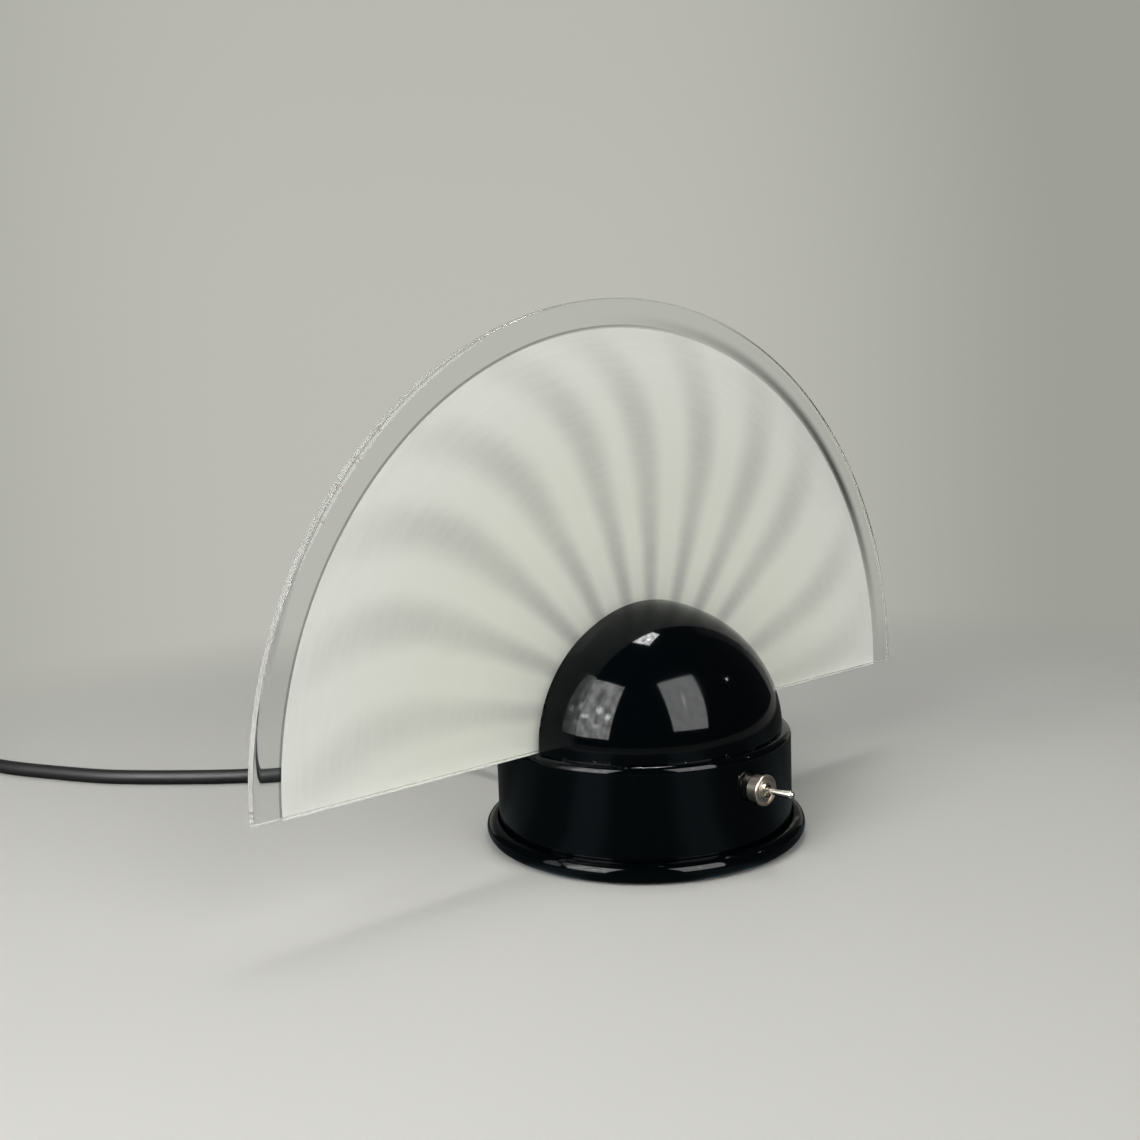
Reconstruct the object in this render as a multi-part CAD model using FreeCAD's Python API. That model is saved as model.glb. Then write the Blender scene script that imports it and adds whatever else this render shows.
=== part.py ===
import FreeCAD, Part
import math
import os

# Table lamp with a half-round glass fan: a black drum, a plate of glass that stands on it between two
# quarter domes, a toggle switch in front and a cord at the back. Millimetres. +Z is up, the origin is on
# the drum's axis at the surface it stands on, the front with the switch faces -Y.

Vector = FreeCAD.Vector
UP = Vector(0, 0, 1)
DOWN = Vector(0, 0, -1)
BACK = Vector(0, 1, 0)
FRONT = Vector(0, -1, 0)
RIGHT = Vector(1, 0, 0)
ORIGIN = Vector(0, 0, 0)
WHOLE_TURN = 360.0

# Drum
DRUM_RADIUS = 60.0
DRUM_TOP = 43.0
DRUM_WALL = 1.2
DRUM_CORNER = 3.0
DRUM_OPENING = 24.0
BEAD_TUBE = 3.8
BEAD_REACH = 5.2
BEAD_SLIT = 0.9
BEAD_FLOOR_GAP = 0.4

# Base plate, felt and posts
FELT_THICKNESS = 1.5
FELT_MARGIN = 1.0
PLATE_THICKNESS = 2.5
PLATE_CLEARANCE = 0.4
VENT_COUNT = 8
VENT_RING = 22.0
VENT_LENGTH = 12.0
VENT_WIDTH = 3.0
POST_RING = 38.0
POST_RADIUS = 4.0
POST_COUNT = 4
POST_THREAD = 7.0
SCREW_SHORT = 1.0
FLUSH_HEAD = 1.5
FLUSH_SLOT = 0.6

# Domes
SEAM_LEDGE = 0.4
DOME_HEIGHT = 52.0
DOME_WALL = 1.2
DOME_GLASS_GAP = 0.3
TAB_WIDTH = 10.0
TAB_LENGTH = 9.0
TAB_THICKNESS = 1.5
TAB_ANGLE = 20.0

# Glass fan
GLASS_RADIUS = 171.0
GLASS_THICKNESS = 5.0
GLASS_ARRIS = 0.5
SEAT_THICKNESS = 0.5
CLEAR_RIM = 10.5
ENAMEL_THICKNESS = 0.2
ENAMEL_LAP = 1.0
GLASS_LEG = 15.4
NOTCH_COVER = 5.5
GLASS_HOLE = 3.5
GLASS_BOLT_HEIGHT = 10.0
BUSH_WALL = 1.3

# Glass brackets
BRACKET_WIDTH = 9.0
BRACKET_THICKNESS = 1.5
BRACKET_HEIGHT = 18.0
BRACKET_FOOT = 13.0
BRACKET_BEND = 0.8
BRACKET_EDGE = 1.5
PAD_THICKNESS = 0.8

# Lamp holder and its strap
STRAP_THICKNESS = 1.5
STRAP_WIDTH = 16.0
STRAP_CLEARANCE = 4.95
STRAP_FLANGE = 11.0
STRAP_BEND = 1.0
STRAP_FLOOR = 8.0
NIPPLE_RADIUS = 4.9
NIPPLE_WALL = 1.3
NIPPLE_BELOW = 3.5
NIPPLE_ABOVE = 5.5
NIPPLE_NUT_FLATS = 14.0
NIPPLE_NUT_THICKNESS = 2.8
HOLDER_RADIUS = 13.0
HOLDER_NECK = 11.5
HOLDER_FLARE = 3.0
HOLDER_CHAMFER = 1.0
HOLDER_LEDGE = 1.2
HOLDER_LIP = 0.5
HOLDER_FLOOR = 6.0
HOLDER_BORE = 8.0
HOLDER_CHAMBER = 2.5
HOLDER_INSERT = 3.0
HOLDER_CONTACT = 1.2
HOLDER_CONTACT_BASE = 3.4
HOLDER_CONTACT_TOP = 2.0
HOLDER_CONTACT_PLATE = 0.5
SHELL_WALL = 0.5
SHELL_DROP = 1.5

# Bulb
CAP_RADIUS = 6.85
CAP_WALL = 0.35
CAP_LENGTH = 19.0
BULB_RADIUS = 14.0
BULB_LENGTH = 34.0
BULB_SHOULDER = 10.0
BULB_WALL = 0.8
BULB_ROOT = 3.0
BULB_NECK_BULGE = (1.2, 0.6)
CONTACT_RADIUS = 2.2
CONTACT_LENGTH = 2.0
CONTACT_NOSE = 0.6
INSULATOR_FLARE = 0.5
INSULATOR_LENGTH = 2.7
STEM_PRESS = 4.0
STEM_FOOT = 2.0
STEM_TIP = 1.6
STEM_REACH = 8.0
FILAMENT_RADIUS = 0.25
FILAMENT_BEND = 1.0
FILAMENT_LEGS = 1.0
FILAMENT_SPAN = 5.0
FILAMENT_BOW = 2.0

# Toggle switch: distances along its axis are counted from the drum's axis towards the front
SWITCH_DROP = 13.4
BUSHING_RADIUS = 2.95
BUSHING_BORE = 2.3
BUSHING_OUT = 5.9
BUSHING_CHAMFER = 0.2
FRAME_THICKNESS = 0.6
INNER_NUT_FLATS = 8.0
INNER_NUT_THICKNESS = 1.6
COLLAR_RADIUS = 5.0
COLLAR_LENGTH = 5.4
COLLAR_FLARE = 0.5
RING_RADIUS = 5.85
RING_WIDTH = 1.3
RING_ROUND = 0.5
RING_DISH = 0.5
SWITCH_WIDTH = 13.2
SWITCH_TALL = 8.0
SWITCH_DEPTH = 9.5
SWITCH_WALL = 1.2
LEVER_BALL = 2.25
LEVER_PIVOT_OUT = 2.3
LEVER_TIP_RADIUS = 1.5
LEVER_TIP_REACH = 12.7
LEVER_ROOT_RADIUS = 0.95
LEVER_SHANK_RADIUS = 0.75
LEVER_CUP_RADIUS = 1.25
LEVER_CUP_BORE = 0.85
LEVER_CUP_LENGTH = 4.4
LEVER_CUP_FLOOR = 0.6
LEVER_CUP_LIFT = 1.3
LEVER_TILT = 10.0
PIN_RADIUS = 0.5
PIN_CLEARANCE = 0.05
PLUNGER_RADIUS = 0.8
PLUNGER_LENGTH = 2.8
PLUNGER_GAP = 0.3
SPRING_WIRE = 0.12
SPRING_TURNS = 4
ROCKER_RISE = 14.0
ROCKER_ARM = 4.2
ROCKER_THICKNESS = 0.4
ROCKER_WIDTH = 3.0
ROCKER_TURN = 6.0
ROCKER_STAND = 0.8
ROCKER_PIVOT_DROP = 0.3
TERMINAL_PITCH = 4.0
TERMINAL_WIDTH = 2.0
TERMINAL_THICKNESS = 0.6
TERMINAL_LENGTH = 4.0
STUD_HALF = 0.7
STUD_TALL = 2.4
RIDGE_RADIUS = 0.35

# Cord, its bush and clamp
CORD_RADIUS = 3.4
BUSH_FLANGE = 6.3
BUSH_GROOVE = 4.9
BUSH_LIP = 5.7
EXIT_GAP = 0.7
FLANGE_THICKNESS = 1.9
FLANGE_ROUND = 0.5
LIP_TAPER = 1.0
LIP_LENGTH = 1.5
RELIEF_LENGTH = 28.0
RELIEF_ROOT = 5.2
RELIEF_TIP = 3.9
TAIL_LENGTH = 20.0
CLAMP_WIDTH = 20.0
CLAMP_DEPTH = 9.0
CLAMP_CAP = 6.0
CLAMP_SPLIT = 0.6
CLAMP_GAP = 2.0
CLAMP_BITE = 7.0

# Terminal block and leads
BLOCK_WIDTH = 20.0
BLOCK_DEPTH = 12.0
BLOCK_HEIGHT = 12.0
BLOCK_Y = 20.0
POLE_HEIGHT = 5.0
POLE_RECESS = 0.5
POLE_PITCH = 9.6
POLE_BORE = 1.5
POLE_WALL = 0.9
POLE_SCREW_SINK = 1.0
POLE_SCREW_SLOT = 0.8
LEAD_RADIUS = 1.0
LEAD_BEND = 3.0
LEAD_PAIR = 1.6
LEAD_LOW = 1.6
LEAD_UNDER = 3.0
LEAD_IN = 2.0
LEAD_OUT = 3.0
LEAD_STUB = 3.5
LEAD_DIP = (2.0, 3.0)
CORE_SPREAD = 1.7
CORE_STUB = 2.5
CORE_SHIFT = 1.5
LIVE_WAY = [(-13.0, 1.0, 0.0), (-13.5, -18.0, 0.0), (-9.0, -32.0, 5.0)]
SWITCHED_WAY = [(5.0, -30.0, 5.4), (6.0, -14.0, 0.0)]
NEUTRAL_TURN = 6.0

# Coil, tie and plug at the far end
COIL_CENTRE = (-228.5, 362.5)
COIL_RADIUS = 37.5
COIL_WIDE = 3
COIL_HIGH = 2
COIL_CORNER = 3.0
COIL_SINK = 0.5
TIE_THICKNESS = 0.6
TIE_WIDTH = 8.0
TIE_ANGLE = 55.0
PLUG_WIDTH = 35.0
PLUG_HEIGHT = 13.7
PLUG_LENGTH = 34.0
PLUG_WAIST = 16.0
PLUG_WAIST_DROP = 2.0
PLUG_SHOULDER = 0.55
PLUG_SHOULDER_DROP = 3.0
PLUG_CORNER = 4.0
PLUG_SLEEVE = 20.0
PLUG_SLEEVE_WALL = (0.4, 1.6)
PLUG_PIN_RADIUS = 2.0
PLUG_PIN_PITCH = 19.0
PLUG_PIN_LENGTH = 19.0
PLUG_PIN_SEAT = 12.0
PLUG_PIN_ROOT = 1.6
PLUG_PIN_NOSE = 1.0
PLUG_PIN_TIP = 1.1

# Fasteners
SCREW_RADIUS = 1.5
SCREW_HOLE = 1.6
HEAD_RADIUS = 2.8
HEAD_HEIGHT = 1.8
NUT_FLATS = 5.5
NUT_THICKNESS = 2.4
BOLT_RADIUS = 2.0
BOLT_HEAD_RADIUS = 3.5
BOLT_HEAD_HEIGHT = 2.4
BOLT_NUT_FLATS = 7.0
BOLT_NUT_THICKNESS = 3.2
HEAD_CROWN = 0.7
HEAD_EDGE = 0.55
DRIVER_SLOT = 0.7
DRIVER_DEPTH = 0.5
FIT = 0.05
SEAT = 0.1
OVERRUN = 1.0

# Worked out from the sizes above
DRUM_INSIDE = DRUM_RADIUS - DRUM_WALL
PLATE_UNDERSIDE = DRUM_TOP - DRUM_WALL
BEAD_CENTRE = (DRUM_RADIUS + BEAD_REACH - BEAD_TUBE, BEAD_FLOOR_GAP + BEAD_TUBE)
BEAD_TOP = BEAD_CENTRE[1] + BEAD_TUBE
PLATE_RADIUS = BEAD_CENTRE[0] - BEAD_TUBE - PLATE_CLEARANCE
PLATE_TOP = FELT_THICKNESS + PLATE_THICKNESS
DOME_RADIUS = DRUM_RADIUS - DRUM_CORNER - SEAM_LEDGE
DOME_INSIDE = DOME_RADIUS - DOME_WALL
TAB_RING = DOME_INSIDE - TAB_LENGTH / 2.0
GLASS_HALF = GLASS_THICKNESS / 2.0
GLASS_BASE = DRUM_TOP + SEAT_THICKNESS
NOTCH_WIDTH = DOME_INSIDE - GLASS_LEG
NOTCH_HEIGHT = DOME_HEIGHT - NOTCH_COVER - SEAT_THICKNESS
BRACKET_X = NOTCH_WIDTH + BRACKET_EDGE + BRACKET_WIDTH / 2.0
BRACKET_FACE = GLASS_HALF + PAD_THICKNESS
BRACKET_SCREW_Y = BRACKET_FACE + BRACKET_FOOT - HEAD_RADIUS - BRACKET_EDGE
STRAP_Z = PLATE_TOP + STRAP_FLOOR
HOLDER_SEAT = STRAP_Z + STRAP_THICKNESS
STRAP_SCREW_X = NOTCH_WIDTH - STRAP_CLEARANCE - HEAD_RADIUS
STRAP_LEG_X = STRAP_SCREW_X - STRAP_FLANGE / 2.0
INSERT_Z = HOLDER_SEAT + HOLDER_FLOOR + HOLDER_CHAMBER
INSERT_TOP = INSERT_Z + HOLDER_INSERT
BULB_TIP = INSERT_TOP + HOLDER_CONTACT + SEAT
CAP_LOW = BULB_TIP + CONTACT_LENGTH + INSULATOR_LENGTH
CAP_TOP = CAP_LOW + CAP_LENGTH
HOLDER_TOP = CAP_TOP - HOLDER_LIP
SWITCH_Z = DRUM_TOP - SWITCH_DROP
NUT_CORNER = INNER_NUT_FLATS / math.sqrt(3.0)
NUT_SEAT = math.sqrt(DRUM_INSIDE ** 2 - NUT_CORNER ** 2)
SWITCH_FACE = NUT_SEAT - INNER_NUT_THICKNESS - 2 * FIT
BODY_FRONT = SWITCH_FACE - FRAME_THICKNESS
BODY_REAR = BODY_FRONT - SWITCH_DEPTH
CAVITY_FLOOR = BODY_REAR + SWITCH_WALL
PIVOT = DRUM_RADIUS + LEVER_PIVOT_OUT
PIVOT_POINT = Vector(0, -PIVOT, SWITCH_Z)
ROCKER_APEX = CAVITY_FLOOR + ROCKER_STAND
ROCKER_AXIS = ROCKER_APEX - ROCKER_PIVOT_DROP
PLUNGER_END = PIVOT - ROCKER_APEX - PLUNGER_GAP
CUP_END = PLUNGER_END - LEVER_CUP_LIFT
CORD_EXIT_Z = BEAD_TOP + BUSH_FLANGE + EXIT_GAP
RELIEF_START = DRUM_RADIUS + FIT + FLANGE_THICKNESS
RELIEF_END = RELIEF_START + RELIEF_LENGTH
LIP_FACE = math.sqrt(DRUM_INSIDE ** 2 - BUSH_LIP ** 2) - FIT
TAIL_START = LIP_FACE - LIP_LENGTH
CLAMP_Y = TAIL_START - CLAMP_GAP - CLAMP_DEPTH / 2.0
POLE_Z = PLATE_TOP + POLE_HEIGHT
COIL_SECTION_WIDE = COIL_WIDE * 2 * CORD_RADIUS
COIL_SECTION_HIGH = COIL_HIGH * 2 * CORD_RADIUS
COIL_BASE = TIE_THICKNESS
COIL_OUTER_TURN = COIL_RADIUS + (COIL_WIDE - 1) * CORD_RADIUS
LEAD_IN_Z = COIL_BASE + CORD_RADIUS + COIL_SINK
LEAD_OUT_Z = COIL_BASE + COIL_SECTION_HIGH - CORD_RADIUS - COIL_SINK

# The cord's route, chosen by hand: out of the relief, down to the surface, then in a slack curve to the coil
CORD_ROUTE = [
    (0.0, RELIEF_END, CORD_EXIT_Z),
    (0.0, 107.0, CORD_EXIT_Z),
    (-4.0, 125.5, 9.5),
    (-14.0, 144.0, 4.2),
    (-32.0, 160.5, CORD_RADIUS),
    (-61.0, 179.0, CORD_RADIUS),
    (-90.0, 200.0, CORD_RADIUS),
    (-117.0, 229.0, CORD_RADIUS),
    (-143.0, 265.5, CORD_RADIUS),
    (-160.0, 301.0, CORD_RADIUS),
    (-173.5, 340.0, CORD_RADIUS + 0.2),
    (-187.4, 377.7, LEAD_IN_Z),
]
PLUG_END = (-272.5, 310.0)
TAIL_ROUTE = [
    (COIL_CENTRE[0] - COIL_OUTER_TURN + COIL_SINK, 366.0, LEAD_OUT_Z),
    (COIL_CENTRE[0] - COIL_OUTER_TURN + COIL_SINK, 348.0, LEAD_OUT_Z),
    (PLUG_END[0], 326.0, PLUG_HEIGHT / 2.0),
    (PLUG_END[0], PLUG_END[1], PLUG_HEIGHT / 2.0),
]


def radial(r, z):
    """Point of a turned profile, in the XZ plane."""
    return Vector(r, 0, z)


def outline(place, start, *steps):
    """Face inside a closed line: each step is a point, or a pair of points for an arc."""
    edges = []
    here = place(*start)
    for step in steps + (start,):
        if isinstance(step[0], tuple):
            middle = place(*step[0])
            there = place(*step[1])
            edges.append(Part.Arc(here, middle, there).toShape())
        else:
            there = place(*step)
            if (there - here).Length > 1e-6:
                edges.append(Part.LineSegment(here, there).toShape())
        here = there
    return Part.Face(Part.Wire(edges))


def turned(start, *steps):
    """Solid turned about the Z axis from a profile of radius and height."""
    return outline(radial, start, *steps).revolve(ORIGIN, UP, WHOLE_TURN)


def laid_forward(shape, height):
    """Turn a solid from the Z axis on to the front axis at a height, so that its Z counts towards -Y."""
    shape.rotate(ORIGIN, RIGHT, 90)
    shape.translate(Vector(0, 0, height))
    return shape


def laid_back(shape, height):
    """Turn a solid from the Z axis on to the rear axis at a height, so that its Z counts towards +Y."""
    shape.rotate(ORIGIN, RIGHT, -90)
    shape.translate(Vector(0, 0, height))
    return shape


def rod(radius, length, base, axis):
    """Round bar of a length from its base point along an axis."""
    return Part.makeCylinder(radius, length, base, axis)


def block(low, high):
    """Box between two corners."""
    size = high - low
    return Part.makeBox(size.x, size.y, size.z, low)


def on_circle(radius, degrees, z=0.0):
    """Point on a circle about the Z axis."""
    angle = math.radians(degrees)
    return Vector(radius * math.cos(angle), radius * math.sin(angle), z)


def mirrored(points):
    """Points with the same ones on the other side, X turned round."""
    return points + [Vector(-point.x, point.y, point.z) for point in points]


def quarter_ellipse(width, height, base, side=1.0):
    """Edge in the XZ plane from a point on the base line up to the crown on the axis."""
    curve = Part.BezierCurve()
    curve.setPoles([Vector(side * width, 0, base), Vector(side * width, 0, base + height),
                    Vector(0, 0, base + height)])
    curve.setWeight(2, math.sqrt(0.5))
    return curve.toShape()


def hex_nut(flats, thickness, bore, base, axis):
    """Hexagon nut of a width across flats, with its bore, standing on its base point."""
    corner = flats / math.sqrt(3.0)
    ring = [on_circle(corner, 60 * k + 30) for k in range(7)]
    nut = Part.Face(Part.makePolygon(ring)).extrude(UP * thickness)
    nut = nut.cut(rod(bore, thickness + 2 * OVERRUN, DOWN * OVERRUN, UP))
    nut.Placement = FreeCAD.Placement(base, FreeCAD.Rotation(UP, axis))
    return nut


def screw(seat, axis, grip, radius=SCREW_RADIUS, head=HEAD_RADIUS, height=HEAD_HEIGHT):
    """Slotted pan head screw: its head stands on the seat, its shank runs along the axis."""
    body = turned((0, -height), (head * HEAD_CROWN, -height), (head, -height * HEAD_EDGE), (head, 0),
                  (radius, 0), (radius, grip), (0, grip))
    half = DRIVER_SLOT / 2.0
    slot = block(Vector(-head, -half, -height - OVERRUN), Vector(head, half, -height * DRIVER_DEPTH))
    body = body.cut(slot)
    body.Placement = FreeCAD.Placement(seat, FreeCAD.Rotation(UP, axis))
    return body


def rounded_edges(points, radii):
    """Edges along points in space, with a tangent arc of the given radius at each inner one."""
    edges = []
    here = points[0]
    for corner, radius, after in zip(points[1:-1], radii, points[2:]):
        inward = (corner - here).normalize()
        outward = (after - corner).normalize()
        half_turn = inward.getAngle(outward) / 2.0
        reach = radius * math.tan(half_turn)
        bulge = radius / math.cos(half_turn) - radius
        start = corner - inward * reach
        end = corner + outward * reach
        middle = corner + (outward - inward).normalize() * bulge
        edges.append(Part.LineSegment(here, start).toShape())
        edges.append(Part.Arc(start, middle, end).toShape())
        here = end
    edges.append(Part.LineSegment(here, points[-1]).toShape())
    return edges


def widest_radii(points, limit=None):
    """Arc radius at each inner point: 0.45 of the shorter run over the tangent of half the turn."""
    radii = []
    for before, corner, after in zip(points, points[1:], points[2:]):
        inward = corner - before
        outward = after - corner
        shorter = min(inward.Length, outward.Length)
        radius = 0.45 * shorter / math.tan(inward.getAngle(outward) / 2.0)
        radii.append(min(radius, limit) if limit else radius)
    return radii


def tube(route, radius, limit=None):
    """Round tube along a route of points, straight runs joined by tangent arcs; returns it with its radii."""
    points = [Vector(*point) for point in route]
    radii = widest_radii(points, limit)
    path = Part.Wire(rounded_edges(points, radii))
    ring = Part.Wire(Part.makeCircle(radius, points[0], points[1] - points[0]))
    return path.makePipe(Part.Face(ring)), radii, path.Length


def bent_strip(path, thickness, bend, width):
    """Sheet strip along (x, z) points in the XZ plane, bent round an inner radius at each corner."""
    points = [Vector(x, 0, z) for x, z in path]
    directions = [(b - a).normalize() for a, b in zip(points, points[1:])]
    normals = [FRONT.cross(direction) for direction in directions]
    half = thickness / 2.0
    sides = []
    for side in (1.0, -1.0):
        shifted = [points[0] + normals[0] * side * half]
        radii = []
        for corner, before, after, onward in zip(points[1:], normals, normals[1:], directions[1:]):
            bisector = (before + after).normalize()
            shifted.append(corner + bisector * side * half / bisector.dot(before))
            inside = onward.dot(before) * side > 0
            radii.append(bend if inside else bend + thickness)
        shifted.append(points[-1] + normals[-1] * side * half)
        sides.append((shifted, rounded_edges(shifted, radii)))
    (left, left_edges), (right, right_edges) = sides
    start = Part.LineSegment(left[0], right[0]).toShape()
    end = Part.LineSegment(left[-1], right[-1]).toShape()
    wire = Part.Wire(Part.__sortEdges__(left_edges + right_edges + [start, end]))
    strip = Part.Face(wire).extrude(BACK * width)
    strip.translate(FRONT * width / 2.0)
    return strip


def save(node, *solids):
    """Write one named sub-part, as one solid or as a group of separate ones."""
    shape = solids[0] if len(solids) == 1 else Part.makeCompound(list(solids))
    whole = all(len(solid.Solids) == 1 and solid.isValid() for solid in solids)
    print("%-24s %2d solids %10.1f mm3 %s" % (node, len(solids), shape.Volume, "" if whole else "CHECK"))
    shape.exportStep("parts/%s.step" % node)


# Places that several sub-parts share

def post_places(z):
    """Centres of the posts, between the axes so that switch, cord and glass stay clear."""
    return [on_circle(POST_RING, WHOLE_TURN / POST_COUNT * (k + 0.5), z) for k in range(POST_COUNT)]


def tab_angles():
    """Directions of the dome tabs: two in front, two behind."""
    return [270 - TAB_ANGLE, 270 + TAB_ANGLE, 90 - TAB_ANGLE, 90 + TAB_ANGLE]


def bracket_screw_places(z):
    """Centres of the screws in the feet of the glass brackets."""
    return [Vector(x, y, z) for x in (-BRACKET_X, BRACKET_X) for y in (-BRACKET_SCREW_Y, BRACKET_SCREW_Y)]


def strap_screw_places(z):
    """Centres of the two screws that hold the strap."""
    return mirrored([Vector(STRAP_SCREW_X, 0, z)])


# Drum, plate, felt and posts

def base_drum():
    """Spun cup: closed top with a round corner, straight wall, and its rim rolled outwards into a bead."""
    centre_r, centre_z = BEAD_CENTRE
    hollow = BEAD_TUBE - DRUM_WALL

    def on_bead(radius, degrees):
        point = on_circle(radius, degrees)
        return centre_r + point.x, centre_z + point.y

    outer_meets_hollow = math.degrees(math.acos((DRUM_RADIUS - centre_r) / hollow))
    inner_meets_bead = math.degrees(math.acos((DRUM_INSIDE - centre_r) / BEAD_TUBE))
    roll_end = math.degrees(math.acos((DRUM_RADIUS + BEAD_SLIT - centre_r) / BEAD_TUBE))
    corner_inside = DRUM_CORNER - DRUM_WALL
    bow = math.sqrt(0.5)
    corner_r = DRUM_RADIUS - DRUM_CORNER
    corner_z = DRUM_TOP - DRUM_CORNER
    drum = turned(
        (DRUM_OPENING, DRUM_TOP),
        (corner_r, DRUM_TOP),
        ((corner_r + DRUM_CORNER * bow, corner_z + DRUM_CORNER * bow), (DRUM_RADIUS, corner_z)),
        on_bead(hollow, outer_meets_hollow),
        (on_bead(hollow, 270), on_bead(hollow, WHOLE_TURN + roll_end)),
        on_bead(BEAD_TUBE, roll_end),
        (on_bead(BEAD_TUBE, 270), on_bead(BEAD_TUBE, inner_meets_bead)),
        (DRUM_INSIDE, corner_z),
        ((corner_r + corner_inside * bow, corner_z + corner_inside * bow), (corner_r, PLATE_UNDERSIDE)),
        (DRUM_OPENING, PLATE_UNDERSIDE),
    )
    below = PLATE_UNDERSIDE - OVERRUN
    holes = post_places(below) + bracket_screw_places(below) + strap_screw_places(below)
    holes += [on_circle(TAB_RING, angle, below) for angle in tab_angles()]
    for place in holes:
        drum = drum.cut(rod(SCREW_HOLE, DRUM_WALL + 2 * OVERRUN, place, UP))
    inside = LIP_FACE - OVERRUN
    through = DRUM_RADIUS - inside + OVERRUN
    drum = drum.cut(rod(BUSHING_RADIUS + SEAT, through, Vector(0, -inside, SWITCH_Z), FRONT))
    drum = drum.cut(rod(BUSH_GROOVE + SEAT, through, Vector(0, inside, CORD_EXIT_Z), BACK))
    save("base_drum", drum)


def vent_slots(low, high):
    """Round-ended slots in a ring, as cutters between two heights."""
    slots = []
    for k in range(VENT_COUNT):
        half = VENT_LENGTH / 2.0 - VENT_WIDTH / 2.0
        slot = block(Vector(-half, -VENT_WIDTH / 2, low), Vector(half, VENT_WIDTH / 2, high))
        for end in (-half, half):
            slot = slot.fuse(rod(VENT_WIDTH / 2, high - low, Vector(end, 0, low), UP))
        slot = slot.removeSplitter()
        slot.rotate(ORIGIN, UP, 90)
        slot.translate(Vector(VENT_RING, 0, 0))
        slot.rotate(ORIGIN, UP, WHOLE_TURN / VENT_COUNT * k)
        slots.append(slot)
    return slots


def base_plate_and_felt():
    """Steel plate inside the bead on four posts, and the felt disc glued under it."""
    plate = rod(PLATE_RADIUS, PLATE_THICKNESS, Vector(0, 0, FELT_THICKNESS), UP)
    felt = rod(PLATE_RADIUS - FELT_MARGIN, FELT_THICKNESS, ORIGIN, UP)
    for slot in vent_slots(-OVERRUN, PLATE_TOP + OVERRUN):
        plate = plate.cut(slot)
        felt = felt.cut(slot)
    for place in post_places(0):
        plate = plate.cut(rod(SCREW_HOLE, PLATE_TOP + OVERRUN, place, UP))
        foot = place + UP * FELT_THICKNESS
        plate = plate.cut(Part.makeCone(HEAD_RADIUS + 2 * SEAT, SCREW_HOLE, FLUSH_HEAD, foot, UP))
        felt = felt.cut(rod(HEAD_RADIUS + FELT_MARGIN, PLATE_TOP, place + DOWN * OVERRUN, UP))
    save("base_plate", plate)
    save("felt_disc", felt)


def posts():
    """Threaded posts from the plate to the drum's top, with a pan screw above and a flush screw below."""
    length = PLATE_UNDERSIDE - PLATE_TOP
    pillars = []
    for place in post_places(PLATE_TOP):
        pillar = rod(POST_RADIUS, length, place, UP)
        pillar = pillar.cut(rod(SCREW_RADIUS + FIT, POST_THREAD, place, UP))
        top = place + UP * (length - POST_THREAD)
        pillars.append(pillar.cut(rod(SCREW_RADIUS + FIT, POST_THREAD + OVERRUN, top, UP)))
    save("drum_posts", *pillars)
    bite = POST_THREAD - SCREW_SHORT
    save("post_screws", *[screw(place, DOWN, DRUM_WALL + bite) for place in post_places(DRUM_TOP)])
    end = PLATE_THICKNESS + bite
    half = DRIVER_SLOT / 2.0
    flush = []
    for place in post_places(FELT_THICKNESS):
        body = turned((0, 0), (HEAD_RADIUS, 0), (SCREW_RADIUS, FLUSH_HEAD), (SCREW_RADIUS, end), (0, end))
        body = body.cut(block(Vector(-HEAD_RADIUS, -half, -OVERRUN), Vector(HEAD_RADIUS, half, FLUSH_SLOT)))
        body.translate(place)
        flush.append(body)
    save("plate_screws", *flush)


# Domes

def dome(side):
    """Quarter-ellipsoid shell with its edge on the drum and two tapped tabs; side -1 is the front one."""
    outer = quarter_ellipse(DOME_RADIUS, DOME_HEIGHT, DRUM_TOP)
    inner = quarter_ellipse(DOME_INSIDE, DOME_HEIGHT - DOME_WALL, DRUM_TOP)
    rim = Part.LineSegment(radial(DOME_INSIDE, DRUM_TOP), radial(DOME_RADIUS, DRUM_TOP)).toShape()
    crown = Part.LineSegment(radial(0, DRUM_TOP + DOME_HEIGHT),
                             radial(0, DRUM_TOP + DOME_HEIGHT - DOME_WALL)).toShape()
    section = Part.Face(Part.Wire(Part.__sortEdges__([outer, crown, inner, rim])))
    shell = section.revolve(ORIGIN, UP, side * 180.0)
    for angle in tab_angles()[:2]:
        tab = block(Vector(DOME_INSIDE - TAB_LENGTH, -TAB_WIDTH / 2, DRUM_TOP),
                    Vector(DOME_INSIDE + DOME_WALL / 2, TAB_WIDTH / 2, DRUM_TOP + TAB_THICKNESS))
        hole = on_circle(TAB_RING, 0, DRUM_TOP - OVERRUN)
        tab = tab.cut(rod(SCREW_RADIUS + FIT, TAB_THICKNESS + 2 * OVERRUN, hole, UP))
        tab.rotate(ORIGIN, UP, angle if side < 0 else -angle)
        shell = shell.fuse(tab)
    reach = DOME_RADIUS + OVERRUN
    edge = GLASS_HALF + DOME_GLASS_GAP
    slab = block(Vector(-reach, -edge, DRUM_TOP - OVERRUN),
                 Vector(reach, edge, DRUM_TOP + DOME_HEIGHT + OVERRUN))
    return shell.cut(slab).removeSplitter()


def domes():
    """The two quarter domes and the screws that pull them down from inside the drum."""
    save("front_dome", dome(-1.0))
    save("rear_dome", dome(1.0))
    grip = DRUM_WALL + TAB_THICKNESS + SCREW_SHORT
    places = [on_circle(TAB_RING, angle, PLATE_UNDERSIDE) for angle in tab_angles()]
    save("dome_screws", *[screw(place, UP, grip) for place in places])


# Glass, enamel and what clamps the glass

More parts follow.
